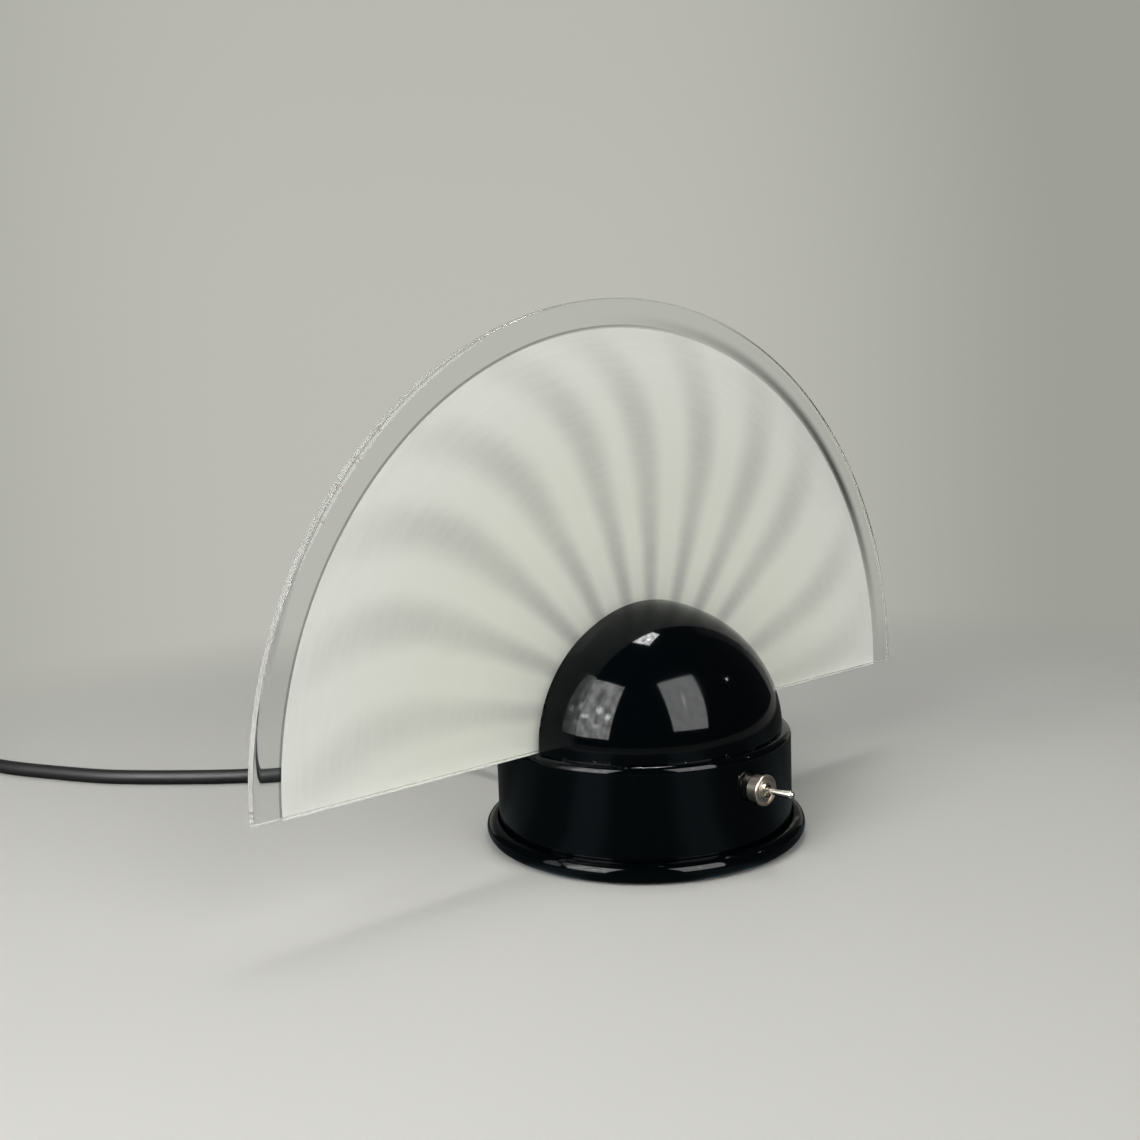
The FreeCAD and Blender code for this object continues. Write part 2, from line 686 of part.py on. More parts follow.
def glass_fan():
    """Half disc of plate glass with an arched notch at its foot, arrised edges and two bolt holes."""
    arc = Part.Arc(radial(-GLASS_RADIUS, GLASS_BASE), radial(0, GLASS_BASE + GLASS_RADIUS),
                   radial(GLASS_RADIUS, GLASS_BASE)).toShape()
    feet = [Part.LineSegment(radial(side * GLASS_RADIUS, GLASS_BASE),
                             radial(side * NOTCH_WIDTH, GLASS_BASE)).toShape() for side in (1, -1)]
    notch = [quarter_ellipse(NOTCH_WIDTH, NOTCH_HEIGHT, GLASS_BASE, side) for side in (1, -1)]
    face = Part.Face(Part.Wire(Part.__sortEdges__([arc] + feet + notch)))
    plate = face.extrude(BACK * GLASS_THICKNESS)
    plate.translate(FRONT * GLASS_HALF)
    rims = [edge for edge in plate.Edges if edge.BoundBox.YLength < 1e-3
            and max(abs(edge.BoundBox.XMin), abs(edge.BoundBox.XMax)) > GLASS_RADIUS - OVERRUN]
    plate = plate.makeChamfer(GLASS_ARRIS, rims)
    for x in (-BRACKET_X, BRACKET_X):
        hole = Vector(x, -GLASS_THICKNESS, GLASS_BASE + GLASS_BOLT_HEIGHT)
        plate = plate.cut(rod(GLASS_HOLE, 2 * GLASS_THICKNESS, hole, BACK))
    save("glass_fan", plate)


def white_enamel():
    """White coat on the back face, from just inside the domes to the clear rim."""
    outer = rod(GLASS_RADIUS - CLEAR_RIM, ENAMEL_THICKNESS, Vector(0, GLASS_HALF, GLASS_BASE), BACK)
    inner = rod(DOME_INSIDE - ENAMEL_LAP, ENAMEL_THICKNESS + 2 * OVERRUN,
                Vector(0, GLASS_HALF - OVERRUN, GLASS_BASE), BACK)
    below = block(Vector(-GLASS_RADIUS, 0, GLASS_BASE - GLASS_RADIUS),
                  Vector(GLASS_RADIUS, GLASS_THICKNESS, GLASS_BASE + GLASS_ARRIS))
    save("white_enamel", outer.cut(inner).cut(below))


def glass_mount():
    """Seat strips, brackets, pads, bushes, bolts and screws that hold the two legs of the glass."""
    seats = []
    for side in (-1, 1):
        ends = sorted((side * (NOTCH_WIDTH + SEAT), side * DOME_INSIDE))
        seats.append(block(Vector(ends[0], -GLASS_HALF, DRUM_TOP), Vector(ends[1], GLASS_HALF, GLASS_BASE)))
    save("glass_seats", *seats)

    half = BRACKET_WIDTH / 2.0
    middle = BRACKET_THICKNESS / 2.0
    outside = BRACKET_FACE + BRACKET_THICKNESS
    bolt_z = GLASS_BASE + GLASS_BOLT_HEIGHT
    bolt_hole = outside + OVERRUN
    foot_hole = BRACKET_THICKNESS + 2 * OVERRUN
    path = [(BRACKET_FACE + middle, DRUM_TOP + BRACKET_HEIGHT), (BRACKET_FACE + middle, DRUM_TOP + middle),
            (BRACKET_FACE + BRACKET_FOOT, DRUM_TOP + middle)]
    brackets = []
    pads = []
    for side in (-1, 1):
        for x in (-BRACKET_X, BRACKET_X):
            bore = rod(BOLT_RADIUS + SEAT, bolt_hole, Vector(x, 0, bolt_z), BACK * side)
            foot = Vector(x, side * BRACKET_SCREW_Y, DRUM_TOP - OVERRUN)
            bracket = bent_strip(path, BRACKET_THICKNESS, BRACKET_BEND, BRACKET_WIDTH)
            bracket.rotate(ORIGIN, UP, side * 90)
            bracket.translate(Vector(x, 0, 0))
            brackets.append(bracket.cut(bore).cut(rod(SCREW_HOLE, foot_hole, foot, UP)))
            faces = sorted((side * GLASS_HALF, side * BRACKET_FACE))
            pad = block(Vector(x - half, faces[0], GLASS_BASE + GLASS_ARRIS),
                        Vector(x + half, faces[1], DRUM_TOP + BRACKET_HEIGHT))
            pads.append(pad.cut(bore))
    save("glass_brackets", *brackets)
    save("glass_pads", *pads)

    bushes = []
    bolts = []
    nuts = []
    grip = 2 * outside + BOLT_NUT_THICKNESS + SCREW_SHORT
    for x in (-BRACKET_X, BRACKET_X):
        start = Vector(x, -GLASS_HALF, bolt_z)
        bush = rod(GLASS_HOLE - FIT, GLASS_THICKNESS, start, BACK)
        bushes.append(bush.cut(rod(GLASS_HOLE - BUSH_WALL, 2 * GLASS_THICKNESS, start + FRONT, BACK)))
        bolts.append(screw(Vector(x, -outside, bolt_z), BACK, grip, BOLT_RADIUS, BOLT_HEAD_RADIUS,
                           BOLT_HEAD_HEIGHT))
        nuts.append(hex_nut(BOLT_NUT_FLATS, BOLT_NUT_THICKNESS, BOLT_RADIUS + FIT,
                            Vector(x, outside, bolt_z), BACK))
    save("glass_bushes", *bushes)
    save("glass_bolts", *bolts)
    save("glass_bolt_nuts", *nuts)

    foot_top = DRUM_TOP + BRACKET_THICKNESS
    grip = BRACKET_THICKNESS + DRUM_WALL + NUT_THICKNESS + SCREW_SHORT
    save("bracket_screws", *[screw(place, DOWN, grip) for place in bracket_screw_places(foot_top)])
    save("bracket_nuts", *[hex_nut(NUT_FLATS, NUT_THICKNESS, SCREW_RADIUS + FIT, place, DOWN)
                           for place in bracket_screw_places(PLATE_UNDERSIDE)])


# Lamp holder

def holder_strap():
    """Bent strap hung under the drum's top, its two screws and nuts, and the nipple with its nut."""
    middle = STRAP_THICKNESS / 2.0
    low = STRAP_Z + middle
    high = PLATE_UNDERSIDE - middle
    tip = STRAP_LEG_X + STRAP_FLANGE
    path = [(-tip, high), (-STRAP_LEG_X, high), (-STRAP_LEG_X, low), (STRAP_LEG_X, low),
            (STRAP_LEG_X, high), (tip, high)]
    hole = STRAP_THICKNESS + 2 * OVERRUN
    flange_face = PLATE_UNDERSIDE - STRAP_THICKNESS
    strap = bent_strip(path, STRAP_THICKNESS, STRAP_BEND, STRAP_WIDTH)
    strap = strap.cut(rod(NIPPLE_RADIUS + SEAT, hole, Vector(0, 0, STRAP_Z - OVERRUN), UP))
    for place in strap_screw_places(flange_face - OVERRUN):
        strap = strap.cut(rod(SCREW_HOLE, hole, place, UP))
    save("holder_strap", strap)
    grip = DRUM_WALL + STRAP_THICKNESS + NUT_THICKNESS + SCREW_SHORT
    save("strap_screws", *[screw(place, DOWN, grip) for place in strap_screw_places(DRUM_TOP)])
    save("strap_nuts", *[hex_nut(NUT_FLATS, NUT_THICKNESS, SCREW_RADIUS + FIT, place, DOWN)
                         for place in strap_screw_places(flange_face)])
    foot = STRAP_Z - NIPPLE_BELOW
    head = HOLDER_SEAT + NIPPLE_ABOVE
    bore = NIPPLE_RADIUS - NIPPLE_WALL
    save("nipple", turned((bore, foot), (NIPPLE_RADIUS, foot), (NIPPLE_RADIUS, head), (bore, head)))
    save("nipple_nut", hex_nut(NIPPLE_NUT_FLATS, NIPPLE_NUT_THICKNESS, NIPPLE_RADIUS + FIT,
                               Vector(0, 0, STRAP_Z), DOWN))


def lamp_holder():
    """Moulded holder body, the insert in it with two wire holes, the screw shell and the centre contact."""
    floor = HOLDER_SEAT + HOLDER_FLOOR
    bore = NIPPLE_RADIUS + FIT
    step = HOLDER_BORE - HOLDER_LEDGE
    body = turned(
        (bore, HOLDER_SEAT), (HOLDER_NECK, HOLDER_SEAT), (HOLDER_NECK, floor),
        (HOLDER_RADIUS, floor + HOLDER_FLARE), (HOLDER_RADIUS, HOLDER_TOP - HOLDER_CHAMFER),
        (HOLDER_RADIUS - HOLDER_CHAMFER, HOLDER_TOP), (HOLDER_BORE, HOLDER_TOP), (HOLDER_BORE, INSERT_Z),
        (step, INSERT_Z), (step, floor), (bore, floor),
    )
    save("holder_body", body)
    outer = HOLDER_BORE - SEAT
    inner = outer - SHELL_WALL
    insert = rod(outer, HOLDER_INSERT, Vector(0, 0, INSERT_Z), UP)
    for place in mirrored([Vector(LEAD_PAIR, 0, INSERT_Z - OVERRUN)]):
        insert = insert.cut(rod(LEAD_RADIUS + SEAT, HOLDER_INSERT + 2 * OVERRUN, place, UP))
    save("holder_insert", insert)
    rim = HOLDER_TOP - SHELL_DROP
    save("holder_screw_shell", turned((inner, INSERT_TOP), (outer, INSERT_TOP), (outer, rim), (inner, rim)))
    plate = INSERT_TOP + HOLDER_CONTACT_PLATE
    crown = INSERT_TOP + HOLDER_CONTACT
    save("holder_contact", turned((0, INSERT_TOP), (HOLDER_CONTACT_BASE, INSERT_TOP),
                                  (HOLDER_CONTACT_BASE, plate), (HOLDER_CONTACT_TOP, crown), (0, crown)))


def bulb_cap():
    """Tip contact, insulator and screw cap of the small bulb."""
    collar = BULB_TIP + CONTACT_LENGTH
    inner = CAP_RADIUS - CAP_WALL
    save("bulb_contact", turned((0, BULB_TIP), (CONTACT_RADIUS - CONTACT_NOSE, BULB_TIP),
                                (CONTACT_RADIUS, BULB_TIP + CONTACT_NOSE), (CONTACT_RADIUS, collar),
                                (0, collar)))
    save("bulb_insulator", turned((0, collar), (CONTACT_RADIUS + INSULATOR_FLARE, collar),
                                  (inner, CAP_LOW), (0, CAP_LOW)))
    save("bulb_cap", turned((0, CAP_LOW), (CAP_RADIUS, CAP_LOW), (CAP_RADIUS, CAP_TOP), (inner, CAP_TOP),
                            (inner, CAP_LOW + CAP_WALL), (0, CAP_LOW + CAP_WALL)))


def bulb_envelope():
    """Glass envelope of the bulb, the stem pressed into its neck and the bent filament."""
    neck = CAP_RADIUS - CAP_WALL - FIT
    bore = neck - BULB_WALL
    root = CAP_TOP - BULB_ROOT
    shoulder = CAP_TOP + BULB_SHOULDER
    crown = CAP_TOP + BULB_LENGTH
    bow = math.sqrt(0.5)
    rise = crown - BULB_RADIUS
    inside = BULB_RADIUS - BULB_WALL
    waist = (neck + BULB_RADIUS) / 2.0 + BULB_NECK_BULGE[0]
    waist_z = (CAP_TOP + shoulder) / 2.0 - BULB_NECK_BULGE[1]
    lift = BULB_WALL * BULB_NECK_BULGE[1] / BULB_NECK_BULGE[0]
    save("bulb_glass", turned(
        (bore, root), (neck, root), (neck, CAP_TOP), ((waist, waist_z), (BULB_RADIUS, shoulder)),
        (BULB_RADIUS, rise), ((BULB_RADIUS * bow, rise + BULB_RADIUS * bow), (0, crown)),
        (0, crown - BULB_WALL), ((inside * bow, rise + inside * bow), (inside, rise)),
        (inside, shoulder + lift), ((waist - BULB_WALL, waist_z + lift), (bore, CAP_TOP)),
    ))
    hook = CAP_TOP + STEM_REACH
    save("bulb_stem", turned((0, root), (bore - FIT, root), (STEM_FOOT, root + STEM_PRESS),
                             (STEM_TIP, hook), (0, hook)))
    start = hook + FILAMENT_BEND + FIT
    bend = hook + FILAMENT_SPAN + FILAMENT_BEND
    middle = hook + STEM_REACH + FILAMENT_BEND
    route = [(-FILAMENT_LEGS, 0, hook), (-FILAMENT_LEGS, 0, start), (-FILAMENT_SPAN, 0, bend),
             (0, FILAMENT_BOW, middle), (FILAMENT_SPAN, 0, bend), (FILAMENT_LEGS, 0, start),
             (FILAMENT_LEGS, 0, hook)]
    filament, _, _ = tube(route, FILAMENT_RADIUS, FILAMENT_BEND)
    save("bulb_filament", filament)


# Toggle switch

def switch_case():
    """Moulded body, threaded bushing with its frame plate, and the nut inside the wall."""
    half = SWITCH_WIDTH / 2.0
    tall = SWITCH_TALL / 2.0
    body = block(Vector(-half, -BODY_FRONT, SWITCH_Z - tall), Vector(half, -BODY_REAR, SWITCH_Z + tall))
    inside = half - SWITCH_WALL
    inside_tall = tall - SWITCH_WALL
    body = body.cut(block(Vector(-inside, -BODY_FRONT - OVERRUN, SWITCH_Z - inside_tall),
                          Vector(inside, -CAVITY_FLOOR, SWITCH_Z + inside_tall)))
    for x in (-TERMINAL_PITCH, 0, TERMINAL_PITCH):
        body = body.cut(terminal_leg(x, FIT))
    save("switch_body", body)

    end = DRUM_RADIUS + BUSHING_OUT
    bushing = turned((BUSHING_BORE, BODY_FRONT), (BUSHING_RADIUS, BODY_FRONT),
                     (BUSHING_RADIUS, end - BUSHING_CHAMFER), (BUSHING_RADIUS - BUSHING_CHAMFER, end),
                     (BUSHING_BORE, end))
    laid_forward(bushing, SWITCH_Z)
    frame = block(Vector(-half, -SWITCH_FACE, SWITCH_Z - tall), Vector(half, -BODY_FRONT, SWITCH_Z + tall))
    behind = Vector(0, OVERRUN - BODY_FRONT, SWITCH_Z)
    frame = frame.cut(rod(BUSHING_BORE, FRAME_THICKNESS + 2 * OVERRUN, behind, FRONT))
    bushing = bushing.fuse(frame).removeSplitter()
    for axis in (UP, DOWN):
        bushing = bushing.cut(rod(PIN_RADIUS + FIT / 2, BUSHING_RADIUS + OVERRUN, PIVOT_POINT, axis))
    save("switch_bushing", bushing)
    save("switch_inner_nut", hex_nut(INNER_NUT_FLATS, INNER_NUT_THICKNESS, BUSHING_RADIUS + FIT,
                                     Vector(0, -SWITCH_FACE - FIT, SWITCH_Z), FRONT))


def switch_dress_nut():
    """Smooth collar on the drum's wall with a wider dished ring in front."""
    bore = BUSHING_RADIUS + FIT
    front = DRUM_RADIUS + COLLAR_LENGTH
    ring = front - RING_WIDTH
    dish = front - RING_DISH
    bow = RING_ROUND * (1.0 - math.sqrt(0.5))
    flare = COLLAR_FLARE * (1.0 - math.sqrt(0.5))
    dress = turned(
        (bore, DRUM_RADIUS), (COLLAR_RADIUS, DRUM_RADIUS), (COLLAR_RADIUS, ring - COLLAR_FLARE),
        ((COLLAR_RADIUS + flare, ring - flare), (COLLAR_RADIUS + COLLAR_FLARE, ring)), (RING_RADIUS, ring),
        (RING_RADIUS, front - RING_ROUND),
        ((RING_RADIUS - bow, front - bow), (RING_RADIUS - RING_ROUND, front)), (bore, dish),
    )
    save("switch_dress_nut", laid_forward(dress, SWITCH_Z))


def terminal_leg(x, clearance=0.0):
    """Flat leg of one switch terminal through the body's floor."""
    half = TERMINAL_THICKNESS / 2.0 + clearance
    tall = TERMINAL_WIDTH / 2.0 + clearance
    return block(Vector(x - half, -CAVITY_FLOOR, SWITCH_Z - tall),
                 Vector(x + half, -BODY_REAR + TERMINAL_LENGTH, SWITCH_Z + tall))


def switch_terminals():
    """Three terminals: a contact stud at each end and a ridge that the rocker stands on in the middle."""
    low = SWITCH_Z - STUD_TALL / 2.0
    high = SWITCH_Z + STUD_TALL / 2.0
    solids = []
    for x in (-TERMINAL_PITCH, TERMINAL_PITCH):
        stud = block(Vector(x - STUD_HALF, -CAVITY_FLOOR - STUD_HALF, low),
                     Vector(x + STUD_HALF, -CAVITY_FLOOR, high))
        solids.append(stud.fuse(terminal_leg(x)).removeSplitter())
    ridge = rod(RIDGE_RADIUS, STUD_TALL, Vector(0, -CAVITY_FLOOR, low), UP)
    ridge = ridge.cut(block(Vector(-OVERRUN, -CAVITY_FLOOR, low - OVERRUN),
                            Vector(OVERRUN, -CAVITY_FLOOR + OVERRUN, high + OVERRUN)))
    solids.append(ridge.fuse(terminal_leg(0)).removeSplitter())
    save("switch_terminals", *solids)


def tilted(shape):
    """Turn what rides on the lever about the pivot to its resting side, towards +X."""
    shape.rotate(PIVOT_POINT, UP, LEVER_TILT)
    return shape


def switch_lever():
    """Bat lever with its pivot pin, and in its cup the spring and the plunger that rides on the rocker."""
    tip = PIVOT + LEVER_TIP_REACH
    neck_out = PIVOT + math.sqrt(LEVER_BALL ** 2 - LEVER_ROOT_RADIUS ** 2)
    neck_in = PIVOT - math.sqrt(LEVER_BALL ** 2 - LEVER_SHANK_RADIUS ** 2)
    cup_low = PIVOT - CUP_END
    cup_high = min(cup_low + LEVER_CUP_LENGTH, BODY_FRONT)
    cup_floor = cup_high - LEVER_CUP_FLOOR
    shoulder = cup_high + LEVER_CUP_RADIUS - LEVER_SHANK_RADIUS
    bow = math.sqrt(0.5) * LEVER_TIP_RADIUS
    bat = turned(
        (0, tip + LEVER_TIP_RADIUS), ((bow, tip + bow), (LEVER_TIP_RADIUS, tip)),
        (LEVER_ROOT_RADIUS, neck_out), ((LEVER_BALL, PIVOT), (LEVER_SHANK_RADIUS, neck_in)),
        (LEVER_SHANK_RADIUS, shoulder), (LEVER_CUP_RADIUS, cup_high), (LEVER_CUP_RADIUS, cup_low),
        (LEVER_CUP_BORE, cup_low), (LEVER_CUP_BORE, cup_floor), (0, cup_floor),
    )
    laid_forward(bat, SWITCH_Z)
    through = LEVER_BALL + OVERRUN
    bat = bat.cut(rod(PIN_RADIUS + PIN_CLEARANCE, 2 * through, PIVOT_POINT + DOWN * through, UP))
    save("switch_lever", tilted(bat))
    length = 2 * BUSHING_RADIUS - 2 * FIT
    save("lever_pin", rod(PIN_RADIUS, length, PIVOT_POINT + DOWN * length / 2.0, UP))

    end = PIVOT - PLUNGER_END
    head = end + PLUNGER_LENGTH
    bow = math.sqrt(0.5) * PLUNGER_RADIUS
    plunger = turned((0, end), ((bow, end + PLUNGER_RADIUS - bow), (PLUNGER_RADIUS, end + PLUNGER_RADIUS)),
                     (PLUNGER_RADIUS, head), (0, head))
    save("switch_plunger", tilted(laid_forward(plunger, SWITCH_Z)))

    mean = LEVER_CUP_BORE - SPRING_WIRE - FIT
    low = head + SPRING_WIRE + FIT
    rise = cup_floor - SPRING_WIRE - FIT - low
    helix = Part.makeHelix(rise / SPRING_TURNS, rise, mean)
    helix.translate(Vector(0, 0, low))
    ring = Part.Wire(Part.makeCircle(SPRING_WIRE, Vector(mean, 0, low), BACK))
    spring = Part.Wire(helix).makePipeShell([ring], True, True)
    save("plunger_spring", tilted(laid_forward(spring, SWITCH_Z)))


def rocker_contact():
    """Shallow V of sheet brass on the middle terminal, tipped to its resting side."""
    rise = math.radians(ROCKER_RISE)
    reach = ROCKER_ARM * math.cos(rise)
    end = ROCKER_APEX + ROCKER_ARM * math.sin(rise)
    drop = ROCKER_THICKNESS / math.cos(rise)

    def place(x, distance):
        return Vector(x, -distance, SWITCH_Z - ROCKER_WIDTH / 2.0)

    plate = outline(place, (0, ROCKER_APEX), (reach, end), (reach, end - drop), (0, ROCKER_APEX - drop),
                    (-reach, end - drop), (-reach, end))
    plate = plate.extrude(UP * ROCKER_WIDTH)
    plate.rotate(Vector(0, -ROCKER_AXIS, SWITCH_Z), UP, -ROCKER_TURN)
    save("rocker_contact", plate)


# Cord inside the drum

def strain_relief():
    """Moulded bush: lip inside the wall, groove in the hole, flange outside and a long taper on the cord."""
    wall = DRUM_RADIUS + FIT
    bush = turned(
        (0, TAIL_START), (BUSH_LIP - LIP_TAPER, TAIL_START), (BUSH_LIP, LIP_FACE), (BUSH_GROOVE, LIP_FACE),
        (BUSH_GROOVE, wall), (BUSH_FLANGE, wall), (BUSH_FLANGE, RELIEF_START - FLANGE_ROUND),
        (BUSH_FLANGE - FLANGE_ROUND, RELIEF_START), (RELIEF_ROOT, RELIEF_START), (RELIEF_TIP, RELIEF_END),
        (0, RELIEF_END),
    )
    save("strain_relief", laid_back(bush, CORD_EXIT_Z))


def cord_clamp():
    """Saddle block on the base plate and the cap over it, with two screws, round the end of the cord."""
    half = CLAMP_WIDTH / 2.0
    near = CLAMP_Y - CLAMP_DEPTH / 2.0
    far = CLAMP_Y + CLAMP_DEPTH / 2.0
    split = CLAMP_SPLIT / 2.0
    saddle = block(Vector(-half, near, PLATE_TOP), Vector(half, far, CORD_EXIT_Z - split))
    cap = block(Vector(-half, near, CORD_EXIT_Z + split), Vector(half, far, CORD_EXIT_Z + CLAMP_CAP))
    before = Vector(0, near - OVERRUN, CORD_EXIT_Z)
    groove = rod(CORD_RADIUS + FIT, CLAMP_DEPTH + 2 * OVERRUN, before, BACK)
    saddle = saddle.cut(groove)
    cap = cap.cut(groove)
    depth = CLAMP_CAP + CLAMP_BITE + SCREW_SHORT
    screws = []
    for side in (-1, 1):
        top = Vector(side * (CORD_RADIUS + half) / 2.0, CLAMP_Y, CORD_EXIT_Z + CLAMP_CAP)
        saddle = saddle.cut(rod(SCREW_RADIUS + FIT, depth, top, DOWN))
        cap = cap.cut(rod(SCREW_HOLE, depth, top, DOWN))
        screws.append(screw(top, DOWN, CLAMP_CAP + CLAMP_BITE))
    save("clamp_saddle", saddle)
    save("clamp_cap", cap)
    save("clamp_screws", *screws)
    tail_end = Vector(0, TAIL_START - TAIL_LENGTH, CORD_EXIT_Z)
    save("cord_inner_tail", rod(CORD_RADIUS, TAIL_LENGTH, tail_end, BACK))


def terminal_block():
    """Two-pole block on the base plate, with its brass inserts and clamping screws."""
    near = BLOCK_Y - BLOCK_DEPTH / 2.0
    half = BLOCK_WIDTH / 2.0
    top = PLATE_TOP + BLOCK_HEIGHT
    shell = POLE_BORE + POLE_WALL
    foot = LEAD_RADIUS + SEAT
    through = BLOCK_DEPTH + 2 * OVERRUN
    body = block(Vector(-half, near, PLATE_TOP), Vector(half, near + BLOCK_DEPTH, top))
    inserts = []
    screws = []
    for x in (-POLE_PITCH / 2.0, POLE_PITCH / 2.0):
        before = Vector(x, near - OVERRUN, POLE_Z)
        body = body.cut(rod(shell + FIT, through, before, BACK))
        insert = rod(shell, BLOCK_DEPTH - 2 * POLE_RECESS, Vector(x, near + POLE_RECESS, POLE_Z), BACK)
        insert = insert.cut(rod(POLE_BORE, through, before, BACK))
        for y in (BLOCK_Y - BLOCK_DEPTH / 4.0, BLOCK_Y + BLOCK_DEPTH / 4.0):
            well = Vector(x, y, POLE_Z)
            head = Vector(x, y, top - POLE_SCREW_SINK)
            body = body.cut(rod(SCREW_HOLE, BLOCK_HEIGHT, well, UP))
            insert = insert.cut(rod(SCREW_RADIUS + FIT, shell + OVERRUN, well, UP))
            stem = rod(SCREW_RADIUS, head.z - POLE_Z - foot, well + UP * foot, UP)
            slot = block(head - Vector(SCREW_RADIUS, DRIVER_SLOT / 2, POLE_SCREW_SLOT),
                         head + Vector(SCREW_RADIUS, DRIVER_SLOT / 2, OVERRUN))
            screws.append(stem.cut(slot))
        inserts.append(insert)
    save("terminal_block", body)
    save("terminal_inserts", *inserts)
    save("terminal_screws", *screws)


def leads():
    """Single cores: from the cord to the block, from the block to the switch, and to the lamp holder."""
    pole = POLE_PITCH / 2.0
    rear = BLOCK_Y + BLOCK_DEPTH / 4.0
    near = BLOCK_Y - BLOCK_DEPTH / 4.0 + LEAD_IN
    exit_y = BLOCK_Y - BLOCK_DEPTH / 2.0 - LEAD_OUT
    tail_end = TAIL_START - TAIL_LENGTH
    between = (tail_end + rear) / 2.0 + CORE_SHIFT
    low = PLATE_TOP + LEAD_LOW
    under = PLATE_TOP + LEAD_UNDER
    end = INSERT_TOP - SEAT
    lug = -BODY_REAR + TERMINAL_LENGTH + FIT
    stub = lug + LEAD_STUB
    away = stub + LEAD_STUB

    def lead(*route):
        return tube(route, LEAD_RADIUS, LEAD_BEND)[0]

    cores = []
    for side in (-1, 1):
        cores.append(lead((side * CORE_SPREAD, tail_end, CORD_EXIT_Z),
                          (side * CORE_SPREAD, tail_end - CORE_STUB, CORD_EXIT_Z),
                          (side * pole, between, POLE_Z), (side * pole, rear - LEAD_IN, POLE_Z)))
    save("supply_cores", *cores)
    live_way = [(x, y, under + z) for x, y, z in LIVE_WAY]
    live = lead((-pole, near, POLE_Z), (-pole, exit_y, POLE_Z), *live_way,
                (-TERMINAL_PITCH, away, SWITCH_Z - LEAD_DIP[0]), (-TERMINAL_PITCH, stub, SWITCH_Z),
                (-TERMINAL_PITCH, lug, SWITCH_Z))
    switched_way = [(x, y, low + z) for x, y, z in SWITCHED_WAY]
    switched = lead((0.0, lug, SWITCH_Z), (0.0, stub, SWITCH_Z), (LEAD_RADIUS, away, SWITCH_Z - LEAD_DIP[1]),
                    *switched_way, (LEAD_PAIR, 0.0, low), (LEAD_PAIR, 0.0, end))
    neutral = lead((pole, near, POLE_Z), (pole, exit_y, POLE_Z), (-LEAD_PAIR, NEUTRAL_TURN, low),
                   (-LEAD_PAIR, 0.0, low), (-LEAD_PAIR, 0.0, end))
    save("lamp_leads", live, switched, neutral)


# Cord on the table

def coil_and_tie():
    """Outer shape of the coiled length, a ring of round-cornered section, and the strap that ties it."""
    centre = Vector(COIL_CENTRE[0], COIL_CENTRE[1], 0)
    inner = COIL_RADIUS - COIL_SECTION_WIDE / 2.0
    outer = COIL_RADIUS + COIL_SECTION_WIDE / 2.0
    top = COIL_BASE + COIL_SECTION_HIGH
    ring = turned((inner, COIL_BASE), (outer, COIL_BASE), (outer, top), (inner, top))
    coil = ring.makeFillet(COIL_CORNER, [edge for edge in ring.Edges if len(edge.Vertexes) == 1])
    coil.translate(centre)
    half = TIE_WIDTH / 2.0
    band = block(Vector(inner - TIE_THICKNESS, -half, 0),
                 Vector(outer + TIE_THICKNESS, half, top + TIE_THICKNESS))
    along = [edge for edge in band.Edges if abs(edge.BoundBox.YLength - TIE_WIDTH) < FIT]
    band = band.makeFillet(COIL_CORNER, along)
    band.translate(centre)
    tie = band.cut(coil)
    tie.rotate(centre, UP, TIE_ANGLE)
    save("cord_coil", coil)
    save("cord_tie", tie)
    return coil


def cord_tubes(coil):
    """The lead from the relief to the coil, and the short tail from the coil to the plug."""
    tubes = []
    for name, route in (("lead", CORD_ROUTE), ("tail", TAIL_ROUTE)):
        solid, radii, length = tube(route, CORD_RADIUS)
        expected = math.pi * CORD_RADIUS ** 2 * length
        print("%s length %.1f volume ratio %.4f radii %s" % (
            name, length, solid.Volume / expected, " ".join("%.0f" % radius for radius in radii)))
        tubes.append(solid.cut(coil))
    save("cord_lead", *tubes)


